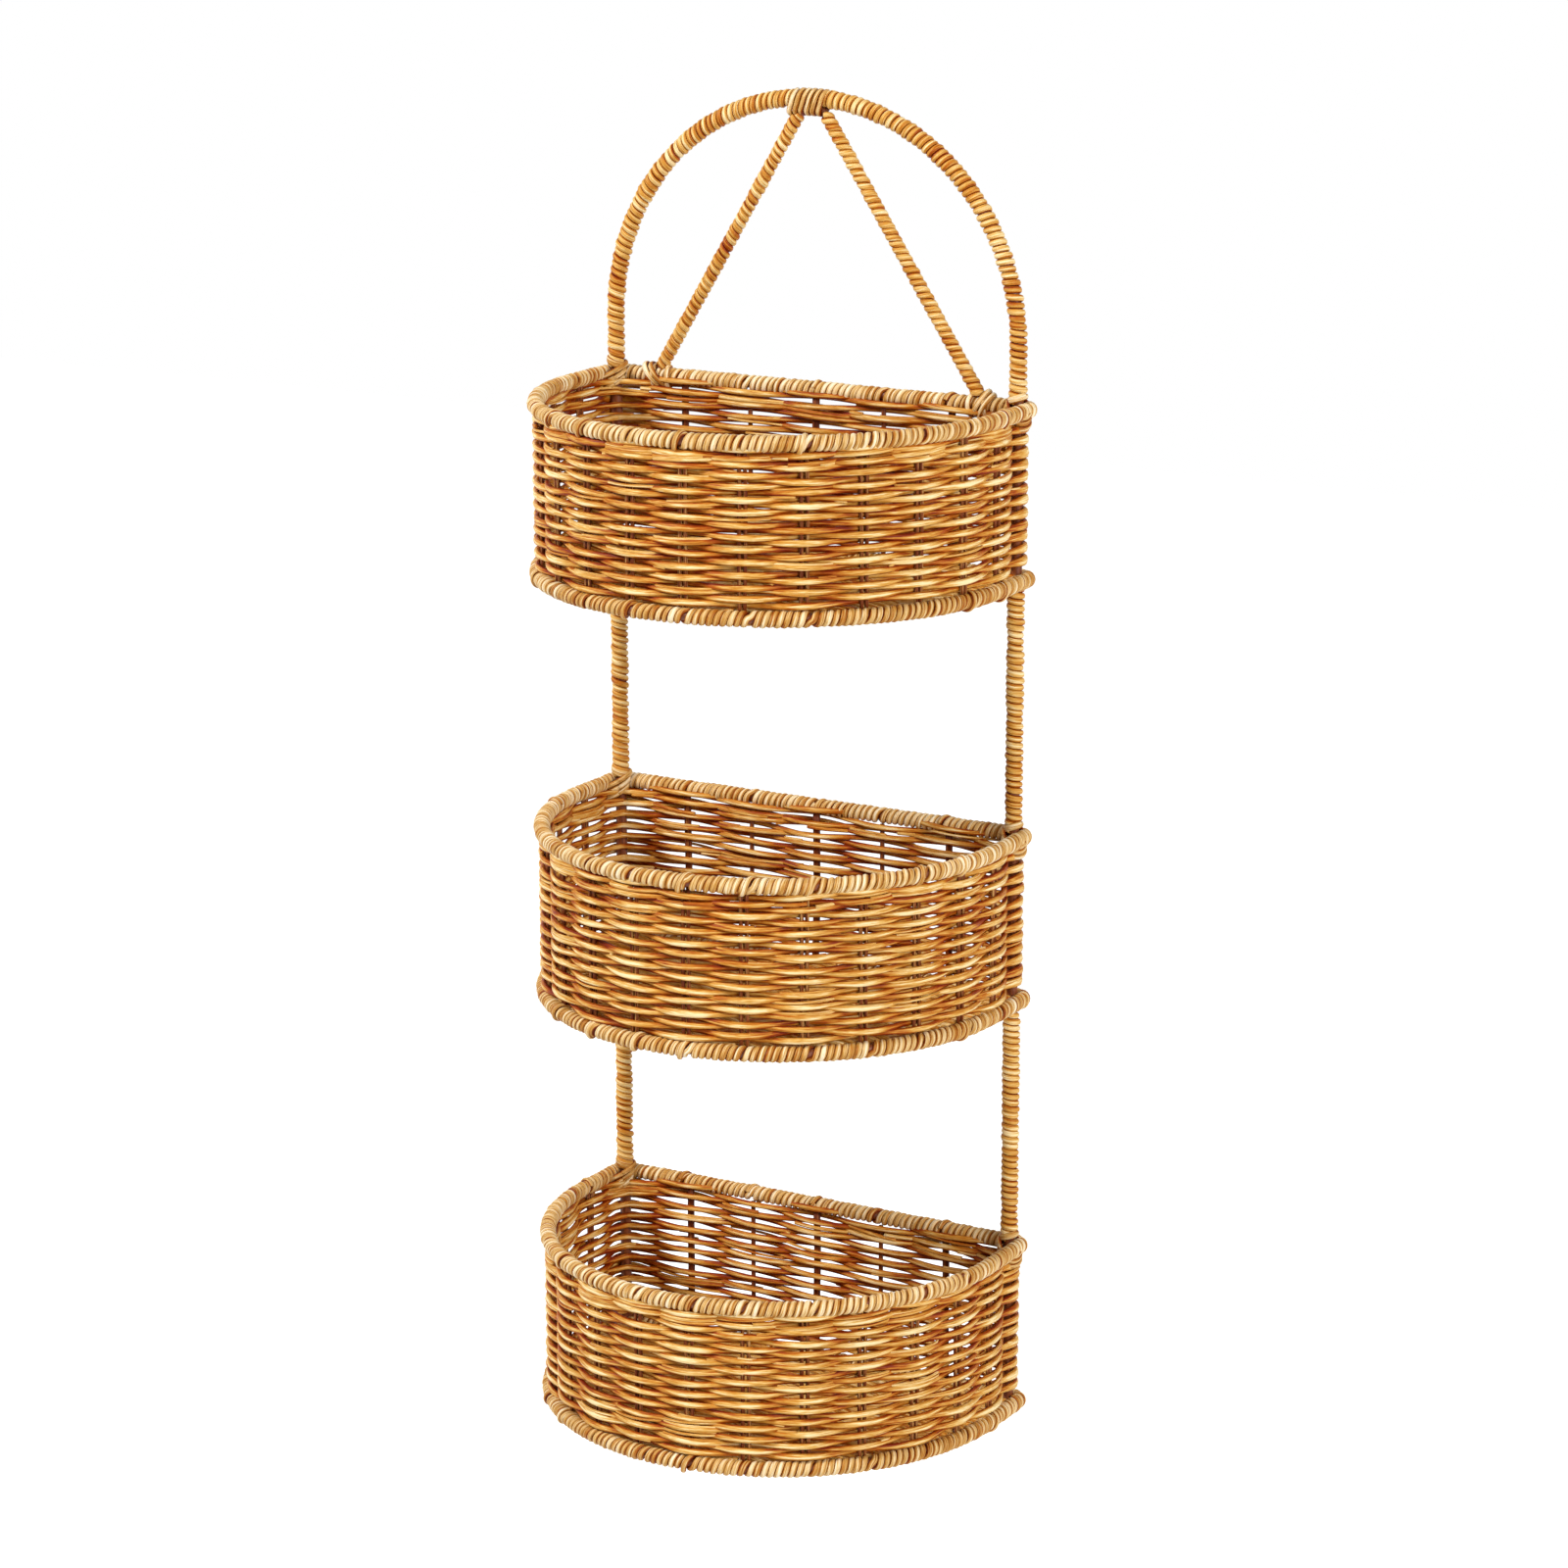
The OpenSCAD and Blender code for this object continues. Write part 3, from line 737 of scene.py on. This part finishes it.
def dress_apex():
    """Turns that bind the bare top of the brace to the bare top of the arch."""
    strands = Strands(SEEDS["apex"])
    arch = (np.array([0, 0, ARCH_Z + LEG_X]), RIGHT, ROD_R)
    brace = (np.array([0, 0, BRACE_TOP_Z]), RIGHT, BRACE_ROD_R)
    across = np.array([math.sin(APEX_LEAN), 0, math.cos(APEX_LEAN)])
    form = (APEX_TURNS, APEX_PITCH, LASH_HALF_T)
    points, out = tight_loop(arch, brace, across, TO_ROOM, *form)
    points[:, 2] -= points[:, 0] ** 2 / (2 * LEG_X)
    tone = loop_tone(strands.rng, len(points), *APEX_TONE)
    # Tones with painted shade in the grooves between the turns
    strands.add(points, out, LASH_HALF_W, APEX_HALF_T, with_painted_groove_shade(tone))
    strands.build("apex_tie", PALE, "pale_strand", "apex_lashing")


# Brace

# Bare length of an arm at its corner, and gap between its strand and the rail's
ARM_START = 3.5 * MM
ARM_END = 1 * MM
ARM_POINTS = 60

# Turns at the feet of the arms: one tight loop, then ties on either side of it
FOOT_RISE = 1.3
FOOT_TURNS = 2
FOOT_PITCH = 3.2 * MM
FOOT_TONE = (0.65, 0.12)
FOOT_TIES = (-5 * MM, 4 * MM)
FOOT_TIE_DROP = 1.5 * MM
FOOT_TIE_LEAN = 3.5 * MM
FOOT_TIE_TONE = 0.7


def dress_brace():
    """Strand on the arms of the brace, and the lashings at its feet."""
    for number, (side, sign) in enumerate(SIDES.items()):
        corner = np.array([sign * BRACE_TOP_HALF, 0, BRACE_TOP_Z])
        foot = np.array([sign * (LEG_X - BRACE_FOOT_INSET), BACK_Y, RIM_Z["top"]])
        way = unit(foot - corner)
        start = corner + ARM_START * way
        end = foot - (RING_WRAP_R + ARM_END) * way
        line = Line(start + (end - start) * np.linspace(0, 1, ARM_POINTS)[:, None], TO_ROOM)
        strands = Strands(SEEDS["arm"] + number)
        slips = random_slips(strands.rng, line.length)
        wind(strands, line, BRACE_WRAP_R, BRACE_PITCH, BRACE_STRANDS, slips)
        strands.build(f"{side}_brace_strand", GOLD, "gold_strand", f"{side}_brace_wrap")

        strands = Strands(SEEDS["foot"] + number)
        arm = (foot, -way, BRACE_WRAP_R)
        rail = (foot, RIGHT, RING_WRAP_R)
        along = unit(np.array([sign, 0, FOOT_RISE]))
        form = (FOOT_TURNS, FOOT_PITCH, LASH_HALF_T)
        points, out = tight_loop(arm, rail, TO_WALL, along, *form)
        add_lashing(strands, points, out, loop_tone(strands.rng, len(points), *FOOT_TONE))
        line = ring_line(RIM_Z["top"])
        for shift in FOOT_TIES:
            spot = line.nearest(foot) + shift
            tie_loop(strands, line, spot, FOOT_TIE_DROP, -sign * FOOT_TIE_LEAN, FOOT_TIE_TONE)
        strands.build(f"{side}_brace_tie", PALE, "pale_strand", f"{side}_brace_lashing")


# Rings

RIM_TONE = 0.57
BASE_TONE = 0.47
RING_TONE_WANDER = 0.08
# How far the strand stands out over the CAD wrap
RING_STAND_OUT = 0.1 * MM

# The turns open a little at each stake: how far off its place at most and how far after that, by
# how much, and over which length
RING_SLIP_OFF = 3 * MM
RING_SLIP_AFTER = 2.5 * MM
RING_SLIP_SPREAD = (0.8 * MM, 2.4 * MM)
RING_SLIP_LENGTH = 4 * MM

# At this share of the stakes a turn is laid aslant
ASLANT_SHARE = 0.3
ASLANT_DROP = (0.2 * MM, 0.8 * MM)
ASLANT_LEAN = (5 * MM, 8 * MM)
ASLANT_TONE = (0.35, 0.6)


def dress_ring(tier, part, z, tone, seed):
    """Strand bound round a rim or base ring, with a turn laid aslant at some of the stakes."""
    line = ring_line(z)
    strands = Strands(seed)
    rng = strands.rng
    spots = []
    for x, y, radius in stakes():
        if radius != ROD_R:
            off = rng.uniform(-RING_SLIP_OFF, RING_SLIP_OFF)
            spots.append(line.nearest((x, y, z)) + off)
    slips = [
        (spot + RING_SLIP_AFTER, rng.uniform(*RING_SLIP_SPREAD), RING_SLIP_LENGTH)
        for spot in spots
    ]
    outer_r = RING_WRAP_R + RING_STAND_OUT
    wind(strands, line, outer_r, RING_PITCH, RING_STRANDS, slips, (tone, RING_TONE_WANDER))
    for spot in spots:
        if rng.random() < ASLANT_SHARE:
            looks = (rng.uniform(*r) for r in (ASLANT_DROP, ASLANT_LEAN, ASLANT_TONE))
            cross_turn(strands, line, spot, *looks)
    strands.build(f"{tier}_{part}_strand", PALE, "pale_strand", f"{tier}_{part}_wrap")


# Walls

ROW_COUNT = 26
ROW_PITCH = 3.12 * MM
FIRST_ROW = 5.5 * MM
WEAVE_STEP = 2.2 * MM

# Wanders of the strand's depth, height and thickness
DEPTH_WANDER = (30 * MM, 0.12 * MM)
HEIGHT_WANDER = (36 * MM, 0.45 * MM)
SWELL_WANDER = (90 * MM, 0.05)

# The last rows lie looser: how many rows from the top this begins, over how many it grows, how
# far they rise, and how their height wanders
LOOSE_FROM = 4.2
LOOSE_OVER = 3
LOOSE_RISE = 0.5 * MM
LOOSE_WANDER = (70 * MM, 0.8 * MM)

# Tone: its mean and wanders; how much paler it gets with the distance from the wall's middle, as a
# painted highlight where the strand bows out and painted shade where strands cross, and at which
# share of the greatest distance it is the mean; how much darker, as painted shade, the strand's
# upper and lower edges and the side that faces into the basket are; and below which cosine a side
# faces in
WEAVE_TONE = 0.74
LONG_TONE_WANDER = (140 * MM, 0.08)
SHORT_TONE_WANDER = (30 * MM, 0.09)
PAINTED_CROWN_LIGHT_AND_SHADE = 0.5
CROWN_LEVEL = 0.75
PAINTED_EDGE_SHADE = 0.5
PAINTED_INSIDE_SHADE = 0.07
FACING_IN = -0.1

# Thin strands that lie between the rows: how many, between which rows they start, radius,
# greatest length, and how many rows above the strand that they follow they may end
SPLINTS = (
    (80, (1, ROW_COUNT - 2.3), 0.75 * MM, 110 * MM, (-0.5, 0.5, 1.5)),
    (16, (ROW_COUNT - 4.5, ROW_COUNT - 2.6), 1.15 * MM, 160 * MM, (1.1, 1.6)),
)
# The shares of that length that they may have, how many rows above the strand they start, and how
# far they stand out as a share of the strand's half thickness
SPLINT_LENGTHS = (0.35, 1)
SPLINT_START = 0.5
SPLINT_LIFT = 0.35
SPLINT_TONE = 0.68
SPLINT_TONES = (-0.25, 0.15)
# How much darker a splint's upper and lower edges get, as painted shade
SPLINT_PAINTED_EDGE_SHADE = 0.3


def crossings(loop):
    """Places where the spiral of rows passes each leg or stake, and the radius of each."""
    posts = stakes()
    spots = np.array([loop.nearest((x, y, 0)) for x, y, _ in posts])
    spots[0] = 0
    radii = [r for _, _, r in posts]
    rows = [spots + row * loop.length for row in range(ROW_COUNT)]
    return np.concatenate([*rows, [ROW_COUNT * loop.length]]), radii * ROW_COUNT + radii[:1]


def dress_wall(tier, seed):
    """A strand woven in front of one stake and behind the next, in rows that climb as a spiral."""
    loop = wall_loop()
    strands = Strands(seed)
    rng = strands.rng
    spots, radii = crossings(loop)
    place = np.linspace(0, spots[-1], int(spots[-1] / WEAVE_STEP))
    row = place / loop.length
    crown = np.cos(math.pi * np.interp(place, spots, np.arange(len(spots))))
    depth = np.interp(place, spots, np.array(radii) + CROSSING_R)

    centre, _, out, _ = loop.at(place % loop.length)
    away = depth * crown + wander(rng, place, *DEPTH_WANDER)
    points = centre + away[:, None] * out
    points[:, 2] = BASE_Z[tier] + FIRST_ROW + ROW_PITCH * row
    loose = np.clip((row - (ROW_COUNT - LOOSE_FROM)) / LOOSE_OVER, 0, 1)
    height = wander(rng, place, *HEIGHT_WANDER)
    points[:, 2] += height + loose * (LOOSE_RISE + wander(rng, place, *LOOSE_WANDER))
    swell = 1 + wander(rng, place, *SWELL_WANDER)

    def crown_half_h(over_leg):
        half_h = {ROD_R: over_leg, FRONT_CANE_R: FLOAT_HALF_H}
        return np.interp(place, spots, [half_h.get(r, BACK_HALF_H) for r in radii])

    half_h = np.where(crown > 0, crown_half_h(LEG_HALF_H), crown_half_h(BACK_HALF_H))
    half_h = WEAVER_R + (half_h - WEAVER_R) * np.abs(crown)

    tone = WEAVE_TONE + wander(rng, place, *LONG_TONE_WANDER)
    tone = tone + wander(rng, place, *SHORT_TONE_WANDER)
    section = section_turn(SECTION_SIDES)
    edge = np.sin(section) ** 2
    # Painted highlight where the strand bows out, and painted shade where strands cross, at its
    # upper and lower edges and on its side that faces into the basket
    offset = np.abs(away[:, None] + WEAVER_R * np.cos(section))
    tone = tone[:, None] + PAINTED_CROWN_LIGHT_AND_SHADE * (offset / (depth[:, None] + WEAVER_R) - CROWN_LEVEL)
    tone = tone - PAINTED_INSIDE_SHADE * (np.cos(section) < FACING_IN) - PAINTED_EDGE_SHADE * edge
    strands.add(points, out, half_h * swell, WEAVER_R * swell, tone)

    def add_splint(rows, r, longest, climbs):
        start = rng.uniform(*rows) * loop.length
        end = start + rng.uniform(*SPLINT_LENGTHS) * longest
        stretch = slice(*np.searchsorted(place, (start, end)))
        climb = np.linspace(SPLINT_START, rng.choice(climbs), stretch.stop - stretch.start)
        lift = (SPLINT_LIFT * WEAVER_R * np.sign(away[stretch]))[:, None] * out[stretch]
        shift = climb[:, None] * np.array([0, 0, ROW_PITCH])
        # Painted shade on the splint's upper and lower edges
        shade = SPLINT_TONE + rng.uniform(*SPLINT_TONES) - SPLINT_PAINTED_EDGE_SHADE * edge
        strands.add(points[stretch] + lift + shift, out[stretch], r, r, shade[None])

    for count, *form in SPLINTS:
        for _ in range(count):
            add_splint(*form)
    strands.build(f"{tier}_wall_strand", GOLD, "gold_strand", f"{tier}_wall_weave")


# Stakes and floors

# The back canes stand inside the basket: their darker tone is painted shade, and the front canes'
# paler tone is painted light
BACK_CANE_SHADED_TONE = 0.4
FRONT_CANE_LIT_TONE = 0.6
CANE_TONES = 0.1
CANE_POINTS = 14
CANE_WANDER = (30 * MM, 0.2 * MM)
CANE_FLATNESS = (0.94, 1.04)

# Floor strands: distance from the ring's middle to the first and last row, the distance in front
# of the legs from which rows end at the legs, and the step between points and their least number
FLOOR_FRONT_GAP = 6 * MM
FLOOR_BACK_GAP = 5 * MM
FLOOR_LEG_GAP = 8 * MM
FLOOR_STEP = 2.8 * MM
FLOOR_LEAST_POINTS = 4
FLOOR_SIDES = 6
FLOOR_WANDER = (60 * MM, 0.2 * MM)
FLOOR_TONE = 0.55
FLOOR_ROW_TONES = 0.08
FLOOR_TONE_WANDER = (60 * MM, 0.06)


def dress_stakes(tier, seed):
    """Canes that the walls are woven round."""
    strands = Strands(seed)
    rng = strands.rng
    z = np.linspace(BASE_Z[tier] + WIRE_R, RIM_Z[tier] - WIRE_R, CANE_POINTS)
    # Back canes darker as painted shade, front canes paler as painted light
    canes = [(x, y, r, BACK_CANE_SHADED_TONE) for x, y, r in stakes() if r == BACK_CANE_R]
    for shift in (-0.5 * FRONT_CANE_PAIR, 0.5 * FRONT_CANE_PAIR):
        canes += [(x, y, FRONT_CANE_R, FRONT_CANE_LIT_TONE) for x, y in front_points(shift)]
    for x, y, r, tone in canes:
        points = np.stack([np.full_like(z, x), np.full_like(z, y), z], axis=1)
        points[:, 0] += wander(rng, z - z[0], *CANE_WANDER)
        half_t = r * rng.uniform(*CANE_FLATNESS)
        strands.add(points, TO_ROOM, r, half_t, tone + rng.uniform(-CANE_TONES, CANE_TONES))
    strands.build(f"{tier}_canes", CANE, "cane", f"{tier}_cane_stakes")


def dress_floor(tier, seed):
    """Strands woven over one rib and under the next, row behind row."""
    strands = Strands(seed)
    rng = strands.rng
    first, last = FRONT_Y + FLOOR_FRONT_GAP, BACK_Y - FLOOR_BACK_GAP
    rows = int((last - first) / ROW_PITCH)
    for number, y in enumerate(np.linspace(first, last, rows)):
        bow = max(0, -SIDE_L - y)
        reach = math.sqrt((HALF_W - WIRE_R) ** 2 - bow**2)
        if y > -FLOOR_LEG_GAP:
            reach = LEG_X - ROD_R
        count = int(2 * reach / FLOOR_STEP) + FLOOR_LEAST_POINTS
        x = np.linspace(-reach, reach, count)
        place = x - x[0]
        sway = wander(rng, place, *FLOOR_WANDER)
        lift = (RIB_R + CROSSING_R) * np.cos(math.pi * (x / BACK_STAKE_GAP + number))
        points = np.stack([x, y + sway, BASE_Z[tier] + lift], axis=1)
        tone = FLOOR_TONE + rng.uniform(-FLOOR_ROW_TONES, FLOOR_ROW_TONES)
        tone = tone + wander(rng, place, *FLOOR_TONE_WANDER)
        strands.add(points, UP, WEAVER_R, WEAVER_R, tone, FLOOR_SIDES)
    strands.build(f"{tier}_floor_strands", GOLD, "gold_strand", f"{tier}_floor_weave")


# Corners

CORNER_TONE = 0.5

# Collar round the leg, over the rim: its turns and where they start, the gap under it, how far
# it climbs, and how far it is tilted; its depth in the leg's strand is a share of its thickness
COLLAR_TURNS = 1.6
COLLAR_START = 0.75 * math.pi
COLLAR_POINTS = 40
COLLAR_DEPTH = 0.5
COLLAR_GAP = 0.6 * MM
COLLAR_CLIMB = 2 * MM
COLLAR_TILT = 1.3 * MM
COLLAR_WANDER = (30 * MM, 0.1)

# Turns that cross from the leg to the ring: how many, the ways in which they are long and short
# at the left leg, their half length and how much less each next one has, their half width, the
# middle of the first one from the leg's, the step down to the next, and the range of tones
CORNER_TURNS = 3
CORNER_TURN_POINTS = 33
CORNER_LONG_WAY = (11, 13, 8)
CORNER_SHORT_WAY = (13, -11, 0)
CORNER_HALF_L = 9.5 * MM
CORNER_HALF_L_LESS = 1 * MM
CORNER_HALF_W = 5.6 * MM
CORNER_MIDDLE = (2 * MM, -3 * MM, 1.7 * MM)
CORNER_STEP = 3.4 * MM
CORNER_TONES = 0.12


def dress_corners(tier, seed):
    """Lashings of the rim to the legs: a collar round each leg, and turns across to the ring."""
    z = RIM_Z[tier]
    for number, (side, sign) in enumerate(SIDES.items()):
        strands = Strands(seed + number)
        rng = strands.rng
        turned = np.linspace(0, COLLAR_TURNS, COLLAR_POINTS) * 2 * math.pi
        turn = turned + COLLAR_START
        reach = ROD_WRAP_R - COLLAR_DEPTH * LASH_HALF_T
        radial = around(turn, sign * RIGHT, TO_WALL)
        points = np.array([sign * LEG_X, 0, z + RING_WRAP_R + COLLAR_GAP]) + reach * radial
        points[:, 2] += COLLAR_CLIMB * turned / turned[-1] + COLLAR_TILT * np.cos(turn)
        tone = CORNER_TONE + wander(rng, turned * reach, *COLLAR_WANDER)
        add_lashing(strands, points, radial, tone)

        mirror = np.array([-sign, 1, 1])
        along, across = (unit(mirror * way) for way in (CORNER_LONG_WAY, CORNER_SHORT_WAY))
        turn = np.linspace(0, 2 * math.pi, CORNER_TURN_POINTS)
        x, y, top = CORNER_MIDDLE
        for i in range(CORNER_TURNS):
            centre = np.array([sign * (LEG_X + x), y, z + top - i * CORNER_STEP])
            half_l = CORNER_HALF_L - i * CORNER_HALF_L_LESS
            points = centre + around(turn, CORNER_HALF_W * across, half_l * along)
            tone = CORNER_TONE + rng.uniform(-CORNER_TONES, CORNER_TONES)
            add_lashing(strands, points, around(turn, across, along), tone)
        name = f"{tier}_{side}_corner"
        strands.build(f"{name}_tie", PALE, "pale_strand", f"{name}_lashing")


dress_frame()
dress_apex()
dress_brace()
for index, tier in enumerate(TIERS):
    dress_ring(tier, "rim", RIM_Z[tier], RIM_TONE, SEEDS["rim"] + index)
    dress_ring(tier, "base", BASE_Z[tier], BASE_TONE, SEEDS["base"] + index)
    dress_wall(tier, SEEDS["wall"] + index)
    dress_stakes(tier, SEEDS["stakes"] + index)
    dress_floor(tier, SEEDS["floor"] + index)
    dress_corners(tier, SEEDS["corners"] + 2 * index)

# CAD nodes that stay: rods, wires and ribs
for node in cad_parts.values():
    if not node.hide_render:
        node.data.materials.clear()
        node.data.materials.append(BARE_ROD)


# Stage

WORLD_STRENGTH = 0.4
# Floor of the stage: half its size, how far it lies under the basket, its grey, and its glow
STAGE_HALF_SIZE = 4
STAGE_DROP = 0.3
STAGE_GREY = 0.8
STAGE_GLOW = 0.7

# Lamps: place, size and power
LAMPS = {"key": ((-1.5, -1.7, 1.3), 0.6, 60), "fill": ((2.3, -1.0, 0.5), 1.2, 46)}
LAMP_AIM = Vector((0, -80 * MM, -340 * MM))

# The photograph's camera
AZIMUTH, ELEVATION, ROLL = (math.radians(a) for a in (29.80, 14.32, -0.11))
CAMERA_AIM = Vector((16.72 * MM, -60 * MM, -338.05 * MM))
CAMERA_DISTANCE = 2435.7 * MM
SENSOR_WIDTH = 36
LENS = 107.7
CLIP = (0.1, 50)


def white_to_camera(tree, plain, white):
    """A shader that is white to the camera, in gloss and through glass, and plain as a light."""
    path = tree.nodes.new("ShaderNodeLightPath")
    seen = path.outputs["Is Camera Ray"]
    for ray in ("Is Glossy Ray", "Is Transmission Ray"):
        either = tree.nodes.new("ShaderNodeMath")
        either.operation = "MAXIMUM"
        tree.links.new(seen, either.inputs[0])
        tree.links.new(path.outputs[ray], either.inputs[1])
        seen = either.outputs[0]
    mix = tree.nodes.new("ShaderNodeMixShader")
    tree.links.new(seen, mix.inputs["Fac"])
    tree.links.new(plain, mix.inputs[1])
    tree.links.new(white, mix.inputs[2])
    return mix.outputs[0]


def make_world():
    world = bpy.data.worlds.new("studio")
    world.use_nodes = True
    tree = world.node_tree
    tree.nodes.clear()
    soft = tree.nodes.new("ShaderNodeBackground")
    soft.inputs["Strength"].default_value = WORLD_STRENGTH
    white = tree.nodes.new("ShaderNodeBackground")
    for node in (soft, white):
        node.inputs["Color"].default_value = (1, 1, 1, 1)
    output = tree.nodes.new("ShaderNodeOutputWorld")
    mixed = white_to_camera(tree, soft.outputs[0], white.outputs[0])
    tree.links.new(mixed, output.inputs["Surface"])
    bpy.context.scene.world = world


def make_floor(z):
    size = STAGE_HALF_SIZE
    mesh = bpy.data.meshes.new("floor")
    corners = [(-size, -size, z), (size, -size, z), (size, size, z), (-size, size, z)]
    mesh.from_pydata(corners, [], [(0, 1, 2, 3)])
    floor = bpy.data.objects.new("floor", mesh)
    bpy.context.scene.collection.objects.link(floor)
    material = bpy.data.materials.new("pale_floor")
    material.use_nodes = True
    tree = material.node_tree
    tree.nodes.clear()
    plain = tree.nodes.new("ShaderNodeBsdfDiffuse")
    plain.inputs["Color"].default_value = (STAGE_GREY, STAGE_GREY, STAGE_GREY, 1)
    glow = tree.nodes.new("ShaderNodeEmission")
    glow.inputs["Strength"].default_value = STAGE_GLOW
    output = tree.nodes.new("ShaderNodeOutputMaterial")
    both = tree.nodes.new("ShaderNodeAddShader")
    tree.links.new(plain.outputs[0], both.inputs[0])
    tree.links.new(glow.outputs[0], both.inputs[1])
    mixed = white_to_camera(tree, plain.outputs[0], both.outputs[0])
    tree.links.new(mixed, output.inputs["Surface"])
    mesh.materials.append(material)


def add_lamp(name, place, size, power):
    data = bpy.data.lights.new(name, "AREA")
    data.shape = "DISK"
    data.size = size
    data.energy = power
    lamp = bpy.data.objects.new(name, data)
    lamp.location = place
    lamp.rotation_euler = (LAMP_AIM - Vector(place)).to_track_quat("-Z", "Y").to_euler()
    bpy.context.scene.collection.objects.link(lamp)


def make_camera():
    back = Vector(
        (
            math.sin(AZIMUTH) * math.cos(ELEVATION),
            -math.cos(AZIMUTH) * math.cos(ELEVATION),
            math.sin(ELEVATION),
        )
    )
    right = (-back).cross(Vector(UP)).normalized()
    up = right.cross(-back)
    turned_right = math.cos(ROLL) * right + math.sin(ROLL) * up
    turned_up = math.cos(ROLL) * up - math.sin(ROLL) * right
    data = bpy.data.cameras.new("camera")
    data.sensor_width = SENSOR_WIDTH
    data.lens = LENS
    data.clip_start, data.clip_end = CLIP
    camera = bpy.data.objects.new("camera", data)
    axes = Matrix((turned_right, turned_up, back)).transposed().to_4x4()
    camera.matrix_world = Matrix.Translation(CAMERA_AIM + back * CAMERA_DISTANCE) @ axes
    bpy.context.scene.collection.objects.link(camera)
    bpy.context.scene.camera = camera


make_world()
make_floor(box("frame_rod")[0][2] - STAGE_DROP)
for name, values in LAMPS.items():
    add_lamp(name, *values)
make_camera()
bpy.context.scene.view_settings.view_transform = "Standard"
